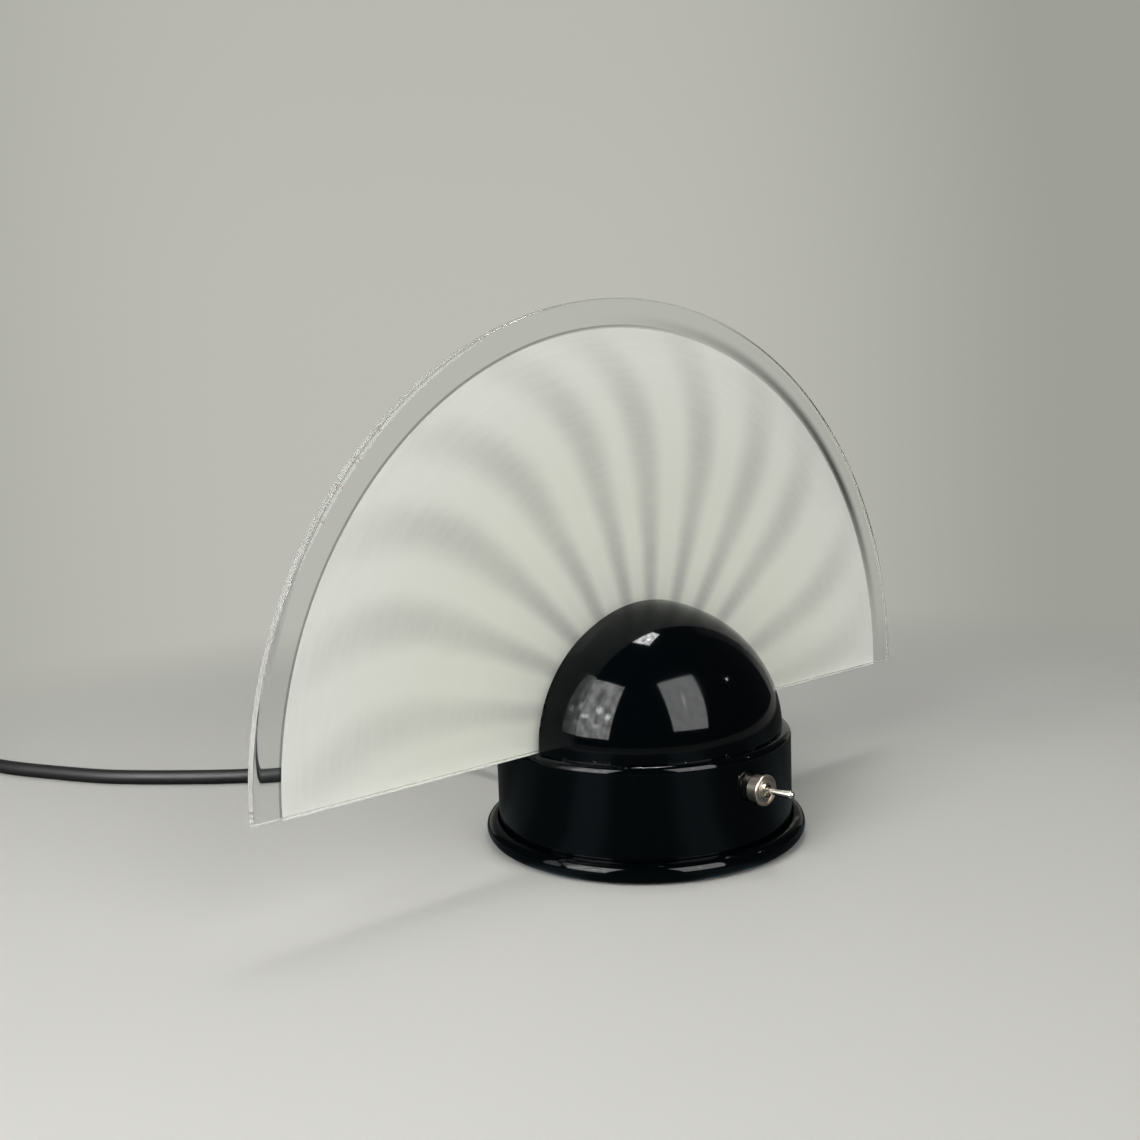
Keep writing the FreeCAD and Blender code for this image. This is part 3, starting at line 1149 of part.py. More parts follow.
def plug():
    """Flat two-pin plug on the cord's end: lofted body, tapered sleeve and two round pins."""
    def section(width, height, distance):
        half = Vector(width / 2.0, height / 2.0, 0)
        box = block(Vector(0, 0, distance) - half, Vector(0, 0, distance + OVERRUN) + half)
        upright = [edge for edge in box.Edges if abs(edge.BoundBox.ZLength - OVERRUN) < FIT]
        low = min(box.makeFillet(PLUG_CORNER, upright).Faces, key=lambda face: face.CenterOfMass.z)
        return low.OuterWire

    sleeve = Part.makeCone(CORD_RADIUS + PLUG_SLEEVE_WALL[0], CORD_RADIUS + PLUG_SLEEVE_WALL[1], PLUG_SLEEVE,
                           ORIGIN, UP)
    shoulder = PLUG_SLEEVE + PLUG_LENGTH * PLUG_SHOULDER
    face = PLUG_SLEEVE + PLUG_LENGTH
    body = Part.makeLoft([section(PLUG_WAIST, PLUG_HEIGHT - PLUG_WAIST_DROP, PLUG_SLEEVE),
                          section(PLUG_WIDTH - PLUG_SHOULDER_DROP, PLUG_HEIGHT, shoulder),
                          section(PLUG_WIDTH, PLUG_HEIGHT, face)], True, True)
    body = body.fuse(sleeve).removeSplitter()
    free = PLUG_PIN_LENGTH - PLUG_PIN_NOSE
    pins = []
    for x in (-PLUG_PIN_PITCH / 2.0, PLUG_PIN_PITCH / 2.0):
        root = Vector(x, 0, face - PLUG_PIN_SEAT)
        body = body.cut(rod(PLUG_PIN_ROOT, PLUG_PIN_SEAT + OVERRUN, root, UP))
        pin = turned((0, -PLUG_PIN_SEAT), (PLUG_PIN_ROOT, -PLUG_PIN_SEAT), (PLUG_PIN_ROOT, 0),
                     (PLUG_PIN_RADIUS, 0), (PLUG_PIN_RADIUS, free), (PLUG_PIN_TIP, PLUG_PIN_LENGTH),
                     (0, PLUG_PIN_LENGTH))
        pin.translate(root + UP * PLUG_PIN_SEAT)
        pins.append(pin)
    heading = Vector(PLUG_END[0], PLUG_END[1], PLUG_HEIGHT / 2.0)
    for shape in [body] + pins:
        shape.rotate(ORIGIN, RIGHT, 90)
        shape.translate(heading)
    save("plug_body", body)
    save("plug_pins", *pins)


def main():
    """Build every sub-part and write it."""
    os.makedirs("parts", exist_ok=True)
    base_drum()
    base_plate_and_felt()
    posts()
    domes()
    glass_fan()
    white_enamel()
    glass_mount()
    holder_strap()
    lamp_holder()
    bulb_cap()
    bulb_envelope()
    switch_case()
    switch_dress_nut()
    switch_terminals()
    switch_lever()
    rocker_contact()
    strain_relief()
    cord_clamp()
    terminal_block()
    leads()
    cord_tubes(coil_and_tie())
    plug()


main()
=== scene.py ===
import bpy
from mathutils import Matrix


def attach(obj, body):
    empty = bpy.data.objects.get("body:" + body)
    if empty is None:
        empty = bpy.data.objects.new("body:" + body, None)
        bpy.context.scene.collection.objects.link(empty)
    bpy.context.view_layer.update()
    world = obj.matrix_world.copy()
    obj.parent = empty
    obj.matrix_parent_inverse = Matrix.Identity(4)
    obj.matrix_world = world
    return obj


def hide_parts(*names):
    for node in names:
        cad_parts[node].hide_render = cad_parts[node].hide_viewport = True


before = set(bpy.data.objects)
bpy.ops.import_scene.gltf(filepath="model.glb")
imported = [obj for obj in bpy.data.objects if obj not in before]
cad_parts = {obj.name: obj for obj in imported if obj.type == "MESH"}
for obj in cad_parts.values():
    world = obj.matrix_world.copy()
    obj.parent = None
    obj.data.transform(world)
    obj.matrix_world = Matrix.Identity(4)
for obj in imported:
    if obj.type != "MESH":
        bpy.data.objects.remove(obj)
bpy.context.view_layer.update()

import logging
import math
from dataclasses import dataclass, field
from enum import Enum
from typing import Any, Callable, Optional, Sequence, Union

import bmesh
import bpy
import numpy as np
from mathutils import Matrix

# Table lamp with a half-round glass fan. Sizes in the classes are millimetres in the row frame: +Z is up, the
# origin is on the drum's axis at the floor, the front with the switch faces -Y. Meshes are written in metres.

MM = 0.001
WELD = 2e-6
CREASE = 35.0

log = logging.getLogger("glass_fan_lamp")

Pair = tuple[float, float]
Point = tuple[float, float, float]
Colour = tuple[float, float, float]
Rings = tuple[float, float, float, float]


class Body(Enum):
    """CAD bodies that pieces ride on."""

    LAMP = "lamp"
    LEVER = "lever"


class Axis(Enum):
    """Axis that a turned piece spins about: its direction, then the two directions across it."""

    UP = ((0, 0, 1), (1, 0, 0), (0, 1, 0))
    FRONT = ((0, -1, 0), (1, 0, 0), (0, 0, 1))
    BACK = ((0, 1, 0), (1, 0, 0), (0, 0, 1))


# Shapes as arrays of points

def arc(centre: Pair, radius: float, start: float, end: float, steps: int = 12) -> np.ndarray:
    """Points on a circle: centre plus radius times (cos t, sin t), with t from start to end in degrees."""
    turn = np.radians(np.linspace(start, end, steps + 1))
    return np.asarray(centre) + radius * np.column_stack((np.cos(turn), np.sin(turn)))


def corner(radius: float, height: float, easing: float, steps: int) -> np.ndarray:
    """Quarter circle that rounds the outer corner of a profile at (radius, height)."""
    return arc((radius - easing, height - easing), easing, 0, 90, steps)


def joined(*parts: Union[np.ndarray, Sequence[Pair]]) -> np.ndarray:
    """One row of points from several, without points that repeat the one before."""
    points = np.vstack([np.atleast_2d(part) for part in parts]).astype(float)
    fresh = np.linalg.norm(np.diff(points, axis=0), axis=1) > 1e-6
    return points[np.concatenate(([True], fresh))]


def turned(profile: np.ndarray, steps: int, axis: Axis = Axis.UP, origin: Point = (0, 0, 0),
           sweep: Pair = (0, 360)) -> np.ndarray:
    """Profile spun about an axis: origin + height along it + radius (cos t, sin t) across it.

    Args:
        profile: Points as (radius, height).
        steps: Number of steps round.
        axis: Axis of the turning.
        origin: Point that heights are counted from.
        sweep: First and last angle in degrees.

    Returns:
        Grid with a row for each point of the profile.
    """
    along, first, second = np.asarray(axis.value, dtype=float)
    turn = np.radians(np.linspace(*sweep, steps + 1))
    spokes = np.cos(turn)[:, None] * first + np.sin(turn)[:, None] * second
    radius, height = profile[:, 0], profile[:, 1]
    return np.asarray(origin) + height[:, None, None] * along + radius[:, None, None] * spokes


def superellipse(width: np.ndarray, height: np.ndarray, power: np.ndarray, steps: int) -> np.ndarray:
    """Closed rounded sections: half width and height times the signed cosine and sine to the power 2 / n.

    Args:
        width: Half width of each section.
        height: Half height of each section.
        power: Exponent n of each section; 2 is an ellipse and more is squarer.
        steps: Number of steps round.

    Returns:
        Grid of (across, up) with a row for each section.
    """
    turn = np.linspace(0, 2 * math.pi, steps + 1)
    bend = 2.0 / power[:, None]
    across = np.sign(np.cos(turn)) * np.abs(np.cos(turn)) ** bend * width[:, None]
    up = np.sign(np.sin(turn)) * np.abs(np.sin(turn)) ** bend * height[:, None]
    return np.stack((across, up), axis=-1)


def smooth(value: np.ndarray) -> np.ndarray:
    """Eased step 3v² - 2v³ of a value held between 0 and 1."""
    held = np.clip(value, 0.0, 1.0)
    return held * held * (3.0 - 2.0 * held)


def grooves(along: np.ndarray, rings: int, ease_in: float, ease_out: float) -> np.ndarray:
    """Depth of round grooves on a sleeve: sin⁴(pi rings v), eased in and out at its ends.

    Args:
        along: Places v on the sleeve, from 0 to 1.
        rings: Number of grooves.
        ease_in: Part of the length over which they grow.
        ease_out: Part of the length over which they fade.

    Returns:
        Depths from 0 to 1.
    """
    ribs = 0.5 - 0.5 * np.cos(2 * math.pi * rings * along)
    return ribs ** 2 * (smooth(along / ease_in) * smooth((1 - along) / ease_out))


def mirrored(x: float, y: float) -> list[Pair]:
    """The four places (±x, ±y)."""
    return [(side * x, way * y) for side in (-1, 1) for way in (-1, 1)]


class Skin:
    """Grids of points that are put into one mesh, welded where they meet."""

    def __init__(self) -> None:
        """Starts empty."""
        self.points: list[np.ndarray] = []
        self.faces: list[np.ndarray] = []
        self.count = 0

    def add(self, grid: np.ndarray) -> "Skin":
        """Adds a grid of points, each four neighbours of which make a face.

        Args:
            grid: Points in rows and columns, in millimetres.

        Returns:
            The skin itself.
        """
        rows, columns = grid.shape[:2]
        index = self.count + np.arange(rows * columns).reshape(rows, columns)
        corners = (index[:-1, :-1], index[:-1, 1:], index[1:, 1:], index[1:, :-1])
        self.faces.append(np.stack(corners, axis=-1).reshape(-1, 4))
        self.points.append(grid.reshape(-1, 3))
        self.count += rows * columns
        return self

    def between(self, first: np.ndarray, second: np.ndarray) -> "Skin":
        """Adds the strip between two rows of points of the same length."""
        return self.add(np.stack((first, second)))

    def mesh(self, name: str, crease: float) -> bpy.types.Mesh:
        """Welded mesh with its faces outwards, smooth except at creases.

        Args:
            name: Name of the mesh.
            crease: Angle in degrees from which an edge is sharp.

        Returns:
            The new mesh.
        """
        mesh = bpy.data.meshes.new(name)
        mesh.from_pydata((np.vstack(self.points) * MM).tolist(), [], np.vstack(self.faces).tolist())
        tidied(mesh, crease)
        return mesh

    def object(self, name: str, crease: float = CREASE) -> bpy.types.Object:
        """Object at the origin with this skin's mesh."""
        return linked(name, self.mesh(name, crease))


def tidied(mesh: bpy.types.Mesh, crease: float) -> None:
    """Welds a mesh, turns its faces outwards and shades it smooth up to a crease.

    Args:
        mesh: Mesh that is changed.
        crease: Angle in degrees from which an edge is sharp.
    """
    work = bmesh.new()
    work.from_mesh(mesh)
    bmesh.ops.remove_doubles(work, verts=work.verts, dist=WELD)
    bmesh.ops.recalc_face_normals(work, faces=work.faces)
    work.to_mesh(mesh)
    work.free()
    mesh.shade_smooth()
    mesh.set_sharp_from_angle(angle=math.radians(crease))


def linked(name: str, data: Any) -> bpy.types.Object:
    """New object in the scene with the given data."""
    piece = bpy.data.objects.new(name, data)
    bpy.context.scene.collection.objects.link(piece)
    return piece


def rod(radius: float, length: float, base: Point, axis: Axis, steps: int = 48) -> np.ndarray:
    """Closed cylinder from its base along an axis."""
    ends = np.array([(0, 0), (radius, 0), (radius, length), (0, length)], dtype=float)
    return turned(ends, steps, axis, base)


def bored(piece: bpy.types.Object, cutters: Skin, crease: float = CREASE) -> None:
    """Cuts closed shapes out of a piece.

    Args:
        piece: Piece whose mesh is replaced by the cut one.
        cutters: Closed shapes that are taken away.
        crease: Angle in degrees from which an edge is sharp.
    """
    tool = cutters.object(piece.name + "_bores")
    cut = piece.modifiers.new("bores", "BOOLEAN")
    cut.operation = "DIFFERENCE"
    cut.solver = "EXACT"
    cut.object = tool
    graph = bpy.context.evaluated_depsgraph_get()
    mesh = bpy.data.meshes.new_from_object(piece.evaluated_get(graph))
    old = piece.data
    piece.modifiers.clear()
    piece.data = mesh
    bpy.data.meshes.remove(old)
    mesh.name = piece.name
    bpy.data.objects.remove(tool)
    tidied(mesh, crease)


def eased(piece: bpy.types.Object, width: float) -> None:
    """Rounds the sharp edges of a piece with a Bevel modifier of a width in millimetres."""
    bevel = piece.modifiers.new("eased edges", "BEVEL")
    bevel.width = width * MM
    bevel.segments = 2
    bevel.limit_method = "ANGLE"
    bevel.angle_limit = math.radians(CREASE)
    bevel.harden_normals = True
    bevel.miter_outer = "MITER_ARC"


# Shader maths

Number = Union[float, int, "Signal"]


def operation(kind: str, meaning: str, swapped: bool = False) -> Callable[..., "Signal"]:
    """Method of a signal that adds one Math node.

    Args:
        kind: Operation of the node.
        meaning: What the method gives.
        swapped: Whether the other value comes first.

    Returns:
        The method.
    """
    def method(self: "Signal", *others: Number) -> "Signal":
        """Math node on the signal and the others."""
        values = (*others, self) if swapped else (self, *others)
        return self.net.add("ShaderNodeMath", {"operation": kind}, dict(enumerate(values)))

    method.__doc__ = meaning
    return method


class Signal:
    """Output of a node. Sums, products and the like of signals and numbers add Math nodes."""

    __add__ = __radd__ = operation("ADD", "Sum.")
    __sub__ = operation("SUBTRACT", "Difference.")
    __rsub__ = operation("SUBTRACT", "Difference from a number.", swapped=True)
    __mul__ = __rmul__ = operation("MULTIPLY", "Product.")
    __truediv__ = operation("DIVIDE", "Quotient.")
    __pow__ = operation("POWER", "Power.")
    above = operation("MAXIMUM", "The larger of the two.")
    below = operation("MINIMUM", "The smaller of the two.")
    size = operation("ABSOLUTE", "Absolute value.")
    root = operation("SQRT", "Square root.")
    turn = operation("ARCTAN2", "Angle in radians whose sine and cosine go as this value and the other.")

    def __init__(self, net: "Net", node: bpy.types.Node, output: Union[int, str] = 0) -> None:
        """Wraps one output of a node."""
        self.net = net
        self.node = node
        self.socket = node.outputs[output]

    def __getitem__(self, output: Union[int, str]) -> "Signal":
        """Another output of the same node."""
        return Signal(self.net, self.node, output)

    def angle(self, across: Number) -> "Signal":
        """Angle in degrees whose sine and cosine go as this value and the one across."""
        return self.turn(across) * math.degrees(1.0)

    def step(self, low: float, high: float) -> "Signal":
        """Smooth step from 0 at low to 1 at high; falling where high is the smaller."""
        settings = {"interpolation_type": "SMOOTHSTEP"}
        if low < high:
            return self.net.add("ShaderNodeMapRange", settings, {"Value": self, 1: low, 2: high})
        return 1.0 - self.step(high, low)

    def mix(self, first: Any, second: Any) -> "Signal":
        """Colour between two colours, with this signal as the share of the second."""
        sockets = {"Factor_Float": self, "A_Color": first, "B_Color": second}
        return self.net.add("ShaderNodeMix", {"data_type": "RGBA"}, sockets)["Result_Color"]


class Net:
    """Node tree of one material, light or world."""

    def __init__(self, tree: bpy.types.NodeTree) -> None:
        """Empties the tree."""
        self.tree = tree
        tree.nodes.clear()

    @staticmethod
    def _socket(sockets: Any, name: Union[int, str]) -> bpy.types.NodeSocket:
        """Socket by its place, its identifier or its name."""
        if isinstance(name, int):
            return sockets[name]
        return next((item for item in sockets if item.identifier == name), None) or sockets[name]

    def add(self, kind: str, settings: Optional[dict[str, Any]] = None,
            inputs: Optional[dict[Union[int, str], Any]] = None) -> Signal:
        """Adds a node, sets what it is, then fills its sockets.

        Args:
            kind: Type name of the node.
            settings: Properties of the node.
            inputs: Values or signals by the place, identifier or name of the socket.

        Returns:
            The node's first output; its other outputs are reached by name.
        """
        node = self.tree.nodes.new(kind)
        for name, value in (settings or {}).items():
            setattr(node, name, value)
        for name, value in (inputs or {}).items():
            socket = self._socket(node.inputs, name)
            if isinstance(value, Signal):
                self.tree.links.new(value.socket, socket)
            elif isinstance(value, tuple) and socket.type == "RGBA":
                socket.default_value = (*value, 1.0)[:4]
            else:
                socket.default_value = value
        if not node.outputs:
            return None
        if kind == "ShaderNodeMix":
            return _MixOutput(self, node)
        return Signal(self, node)

    def place(self) -> Signal:
        """Object coordinates, in metres."""
        return self.add("ShaderNodeTexCoord")["Object"]

    def split(self, vector: Signal) -> tuple[Signal, Signal, Signal]:
        """The three parts of a vector."""
        parts = self.add("ShaderNodeSeparateXYZ", inputs={"Vector": vector})
        return parts["X"], parts["Y"], parts["Z"]

    def millimetres(self) -> tuple[Signal, ...]:
        """The three object coordinates, in millimetres."""
        return tuple(part * (1 / MM) for part in self.split(self.place()))

    def noise(self, scale: float, detail: float = 2.0, vector: Optional[Signal] = None,
              rough: float = 0.5, stretch: Point = (1, 1, 1), twist: float = 0.0) -> Signal:
        """Noise from 0 to 1 with about so many bumps a metre.

        Args:
            scale: Bumps in a metre.
            detail: Number of finer layers.
            vector: Coordinates; those of the object where none are given.
            rough: Weight of the finer layers.
            stretch: Factors on the three coordinates.
            twist: Distortion.

        Returns:
            The noise.
        """
        at = vector or self.place()
        if stretch != (1, 1, 1):
            at = self.add("ShaderNodeVectorMath", {"operation": "MULTIPLY"}, {0: at, 1: stretch})
        return self.add("ShaderNodeTexNoise", inputs={"Vector": at, "Scale": scale, "Detail": detail,
                                                      "Roughness": rough, "Distortion": twist})

    def specks(self, scale: float, radius: float, share: float) -> Signal:
        """Sparse round specks: 1 in the middle of a speck, 0 between them.

        Args:
            scale: Cells in a metre.
            radius: Radius of a speck as a part of a cell.
            share: Part of the cells that hold one.

        Returns:
            The mask.
        """
        cells = self.add("ShaderNodeTexVoronoi", inputs={"Vector": self.place(), "Scale": scale})
        chosen, _, _ = self.split(cells["Color"])
        return cells["Distance"].step(radius, radius * 0.4) * chosen.step(1.0 - share, 1.0 - share + 0.01)

    def bump(self, height: Signal, depth: float, strength: float = 1.0) -> Signal:
        """Normal from a height of 0 to 1, with the depth in millimetres between the two."""
        return self.add("ShaderNodeBump", inputs={"Height": height, "Distance": depth * MM,
                                                  "Strength": strength})

    def shader(self, **sockets: Any) -> Signal:
        """Principled shader; names of sockets are written with _ for a space."""
        return self.add("ShaderNodeBsdfPrincipled",
                        inputs={name.replace("_", " "): value for name, value in sockets.items()})

    def blend(self, share: Number, first: Signal, second: Signal) -> Signal:
        """Mix of two shaders, with the share of the second."""
        return self.add("ShaderNodeMixShader", inputs={0: share, 1: first, 2: second})

    def surface(self, shader: Signal) -> None:
        """Puts a shader on the output."""
        self.add("ShaderNodeOutputMaterial", inputs={"Surface": shader})


class _MixOutput(Signal):
    """Result of a Mix node, whose outputs share one name and are told apart by identifier."""

    def __getitem__(self, output: Union[int, str]) -> Signal:
        """Output by identifier."""
        place = [item.identifier for item in self.node.outputs].index(output)
        return Signal(self.net, self.node, place)


# Finishes

@dataclass(frozen=True)
class Finish:
    """Look of a surface. A finish is made into a material once."""

    name: str
    colour: Colour

    def dress(self, net: Net) -> Signal:
        """Shader of the finish."""
        return net.shader(Base_Color=self.colour)

    def material(self) -> bpy.types.Material:
        """The material of this finish."""
        label = "finish_" + self.name
        made = bpy.data.materials.get(label)
        if made is None:
            made = bpy.data.materials.new(label)
            made.use_nodes = True
            net = Net(made.node_tree)
            net.surface(self.dress(net))
        return made


@dataclass(frozen=True)
class Lacquer(Finish):
    """Gloss stoved lacquer on spun metal, with faint orange peel and a little dust."""

    gloss: float = 0.05
    shine: float = 0.15
    dust: float = 0.03
    dust_colour: Colour = (0.35, 0.36, 0.36)
    seam_round: Pair = (55.2, 56.4)
    seam_over: Pair = (44.2, 43.2)
    seam_under: Pair = (42.1, 42.6)
    fluff: float = 0.7
    peel: Pair = (0.7, 0.12)
    peel_depth: float = 0.012

    def dress(self, net: Net) -> Signal:
        """Two scales of waviness, smudged roughness and pale specks of dust, most along the domes' seam."""
        smudge = net.noise(28.0, 3.0).step(0.45, 0.75)
        x, y, z = net.millimetres()
        seam = (x * x + y * y).root().step(*self.seam_round)
        seam = seam * z.step(*self.seam_over) * z.step(*self.seam_under)
        fibres, tufts = net.noise(1500.0, 3.0), net.noise(160.0, 1.0)
        fluff = fibres.step(0.58, 0.72) * tufts.step(0.48, 0.64) * seam * self.fluff
        dust = net.specks(260.0, 0.045, self.dust).above(fluff)
        height = net.noise(130.0, 1.0) * self.peel[0] + net.noise(620.0, 2.0) * self.peel[1]
        return net.shader(
            Base_Color=(dust * 0.55).mix(self.colour, self.dust_colour),
            Roughness=smudge * 0.05 + dust * 0.4 + self.gloss,
            Specular_IOR_Level=self.shine,
            Normal=net.bump(height, self.peel_depth),
        )


@dataclass(frozen=True)
class ClearGlass(Finish):
    """Clear glass that lets the lamps through to what is behind it."""

    bend: float = 1.5
    shine: float = 0.15
    tint: Colour = (0.3, 0.3, 0.3)

    def body(self, net: Net) -> Signal:
        """Glass for what is seen."""
        return self.glass(net, 0.0)

    def glass(self, net: Net, rough: Number) -> Signal:
        """Clear glass of the given roughness, whose gloss is held down like the lacquer's."""
        return net.shader(Base_Color=self.colour, Transmission_Weight=1.0, IOR=self.bend, Roughness=rough,
                          Specular_IOR_Level=self.shine, Specular_Tint=self.tint)

    def dress(self, net: Net) -> Signal:
        """Glass for what is seen, open for the rays that look for a lamp."""
        clear = net.add("ShaderNodeBsdfTransparent", inputs={"Color": self.colour})
        lamps = net.add("ShaderNodeLightPath")["Is Shadow Ray"]
        return net.blend(lamps, self.body(net), clear)


@dataclass(frozen=True)
class PlateGlass(ClearGlass):
    """Plate glass with a ground foot, a soft dark haze round its coat and small stains on its rim."""

    centre: float = 43.5
    ground_below: float = 43.65
    ground: float = 0.3
    back: float = 2.3
    # painted shade: the haze, the coat line and the rim line darken the glass with the dark colour below
    haze: Rings = (158.8, 162.0, 162.3, 167.0)
    painted_shade_depth: float = 0.92
    coat_shade_line: Rings = (160.05, 160.3, 160.7, 161.3)
    coat_shade_line_depth: float = 0.5
    rim_shade_line: Pair = (169.3, 169.8)
    rim_shade_line_depth: float = 0.6
    painted_shade_colour: Colour = (0.02, 0.02, 0.018)
    stains: tuple[float, ...] = (146.2, 141.8, 138.6, 138.0, 133.8)
    stained: Pair = (168.9, 169.5)
    stain: Colour = (0.16, 0.11, 0.07)
    stain_depth: float = 0.75

    def body(self, net: Net) -> Signal:
        """Glass whose dark parts go by the radius and the angle about the middle of the plate.

        The haze lies on the back, rises and falls with the radius just outside the coat and is deepest
        low on the right. A thin dark line follows the rim there, and a fainter one the coat on the left.
        Stains are short marks across the rim.
        """
        x, y, z = net.millimetres()
        up = z - self.centre
        radius, angle = (x * x + up * up).root(), up.angle(x)
        foot = z.step(self.ground_below + 0.2, self.ground_below)
        glass = self.glass(net, foot * self.ground)
        # painted shade: a soft dark haze on the back just outside the coat, deepest low on the right
        inner, full, fade, outer = self.haze
        side = angle.step(100.0, 30.0) * angle.step(0.0, 36.0)
        haze = radius.step(inner, full) * radius.step(outer, fade) ** 1.5 * side * self.painted_shade_depth
        # painted shade: a faint thin line along the coat on the left
        inner, full, fade, outer = self.coat_shade_line
        left = angle.step(60.0, 110.0) * self.coat_shade_line_depth
        thin = radius.step(inner, full) * radius.step(outer, fade) * left
        back, front = y.step(self.back, self.back + 0.1), y.step(0.0, -0.3)
        # painted shade: a thin line along the rim on the right, on the front
        line = angle.step(80.0, 57.0) * angle.step(-10.0, 56.0) * self.rim_shade_line_depth
        line = line * radius.step(*self.rim_shade_line) * front
        # dark shader that lays the painted shade over the glass
        dark = net.shader(Base_Color=self.painted_shade_colour, Roughness=0.6, Specular_IOR_Level=0.2)
        shaded = net.blend((haze.above(thin) * back).above(line), glass, dark)
        spots: Number = 0.0
        for place in self.stains:
            spots = (angle - place).size().step(0.2, 0.05) + spots
        spots = spots * radius.step(*self.stained) * front
        spots = spots * net.noise(900.0, 2.0).step(0.4, 0.6) * self.stain_depth
        brown = net.shader(Base_Color=self.stain, Roughness=0.7)
        return net.blend(spots.below(1.0), shaded, brown)


@dataclass(frozen=True)
class Metal(Finish):
    """Bare or plated metal with a drawn or tumbled grain."""

    gloss: float = 0.22
    grain: float = 900.0
    stretch: Point = (1, 1, 1)
    depth: float = 0.004
    stain: Colour = (0.3, 0.28, 0.25)
    stained: float = 0.2

    def dress(self, net: Net) -> Signal:
        """Fine grain in roughness and normal, with slow stains."""
        cloud = net.noise(70.0, 3.0).step(0.45, 0.8)
        grain = net.noise(self.grain, 3.0, stretch=self.stretch)
        return net.shader(
            Base_Color=(cloud * self.stained).mix(self.colour, self.stain),
            Metallic=1.0,
            Roughness=grain * 0.12 + cloud * 0.08 + (self.gloss - 0.08),
            Normal=net.bump(grain, self.depth),
        )


@dataclass(frozen=True)
class Moulded(Finish):
    """Moulded plastic or rubber with a fine stipple."""

    gloss: float = 0.42
    stipple: float = 2200.0
    depth: float = 0.012
    mottle: float = 0.25

    def dress(self, net: Net) -> Signal:
        """Stipple in the normal, slow changes in shade and roughness."""
        cloud = net.noise(90.0, 3.0)
        fine = net.noise(self.stipple, 2.0)
        pale = tuple(min(1.0, part * 1.5 + 0.012) for part in self.colour)
        return net.shader(
            Base_Color=(cloud * self.mottle).mix(self.colour, pale),
            Roughness=cloud * 0.16 + fine * 0.1 + (self.gloss - 0.13),
            Normal=net.bump(fine, self.depth),
        )


@dataclass(frozen=True)
class Felt(Finish):
    """Pressed felt with short tangled fibres."""

    def dress(self, net: Net) -> Signal:
        """Fibres from two stretched noises that cross."""
        fibres = net.noise(1500.0, 4.0, stretch=(1, 0.3, 1), twist=1.5)
        across = net.noise(1500.0, 4.0, stretch=(0.3, 1, 1), twist=1.5)
        tangle = (fibres + across) * 0.5
        return net.shader(
            Base_Color=tangle.step(0.35, 0.7).mix(self.colour, (0.075, 0.075, 0.078)),
            Roughness=0.95,
            Normal=net.bump(tangle, 0.25),
            Sheen_Weight=0.4,
        )


@dataclass(frozen=True)
class Ray:
    """One painted ray: its angle at the dome, how far it leans and how dark it is."""

    angle: float
    lean: float = 1.0
    depth: float = 1.0


@dataclass(frozen=True)
class SwirlEnamel(Finish):
    """White enamel with soft grey rays that fan out from the dome and curl to the left."""

    shade: Colour = (0.54, 0.55, 0.525)
    cream: Colour = (0.915, 0.917, 0.845)
    strength: float = 0.82
    centre: float = 43.5
    curl_from: float = 67.0
    curl: float = 0.075
    hook_from: float = 110.0
    hook: float = 0.0035
    half_width: Pair = (3.7, 0.6)
    soft: Pair = (1.55, 0.1)
    rays: tuple[Ray, ...] = (
        Ray(165.3, 1.0, 0.62), Ray(147.6, 1.0, 0.88), Ray(131.6), Ray(115.4), Ray(98.4), Ray(83.8),
        Ray(67.6, 0.8), Ray(52.2, 0.6), Ray(37.4, 0.55, 0.95), Ray(16.8, 0.6, 0.85), Ray(1.2, 0.6, 0.5),
    )

    def dress(self, net: Net) -> Signal:
        """Rays in polar coordinates about the middle of the glass.

        Each ray is a soft band about angle + lean times the curl, where the curl in degrees grows with
        the radius, first steadily and outside with its square. The band widens outwards, is darkest at
        the dome and fades out at the rim. Fine brush lines run round, across the rays.
        """
        across, _, z = net.millimetres()
        up = z - self.centre
        radius = (across * across + up * up).root()
        brush = net.noise(60.0, 3.0) - 0.5
        angle = up.angle(across) + brush * 1.2
        outside = (radius - self.hook_from).above(0.0)
        curl = (radius - self.curl_from) * self.curl + outside * outside * self.hook
        spread = radius.step(60.0, 130.0) * self.half_width[1] + self.half_width[0]
        dark: Number = 0.0
        for ray in self.rays:
            off = (angle - curl * ray.lean - ray.angle).size() / spread
            band = off.step(*self.soft) * ray.depth
            dark = band if isinstance(dark, float) else dark.above(band)
        fade = radius.step(180.0, 118.0) * 0.7 + radius.step(100.0, 58.0) * 0.3
        lines = self.brushed(net, radius, angle)
        haze = net.noise(14.0, 2.0)
        tone = dark * fade * (lines * 0.14 + 0.93) + lines * radius.step(110.0, 160.0) * 0.07
        cream = radius.step(165.0, 90.0) * 0.8 + haze * 0.2
        ground = cream.mix(self.colour, self.cream)
        ripple = net.noise(260.0, 2.0)
        return net.shader(
            Base_Color=(tone * self.strength).above(0.0).mix(ground, self.shade),
            Roughness=ripple * 0.12 + 0.3,
            Normal=net.bump(ripple, 0.02),
        )

    @staticmethod
    def brushed(net: Net, radius: Signal, angle: Signal) -> Signal:
        """Brush lines: noise that changes fast with the radius and slowly with the angle."""
        polar = net.add("ShaderNodeCombineXYZ", inputs={"X": radius * 0.55, "Y": angle * 0.09})
        return net.noise(1.0, 3.0, polar).step(0.3, 0.7)


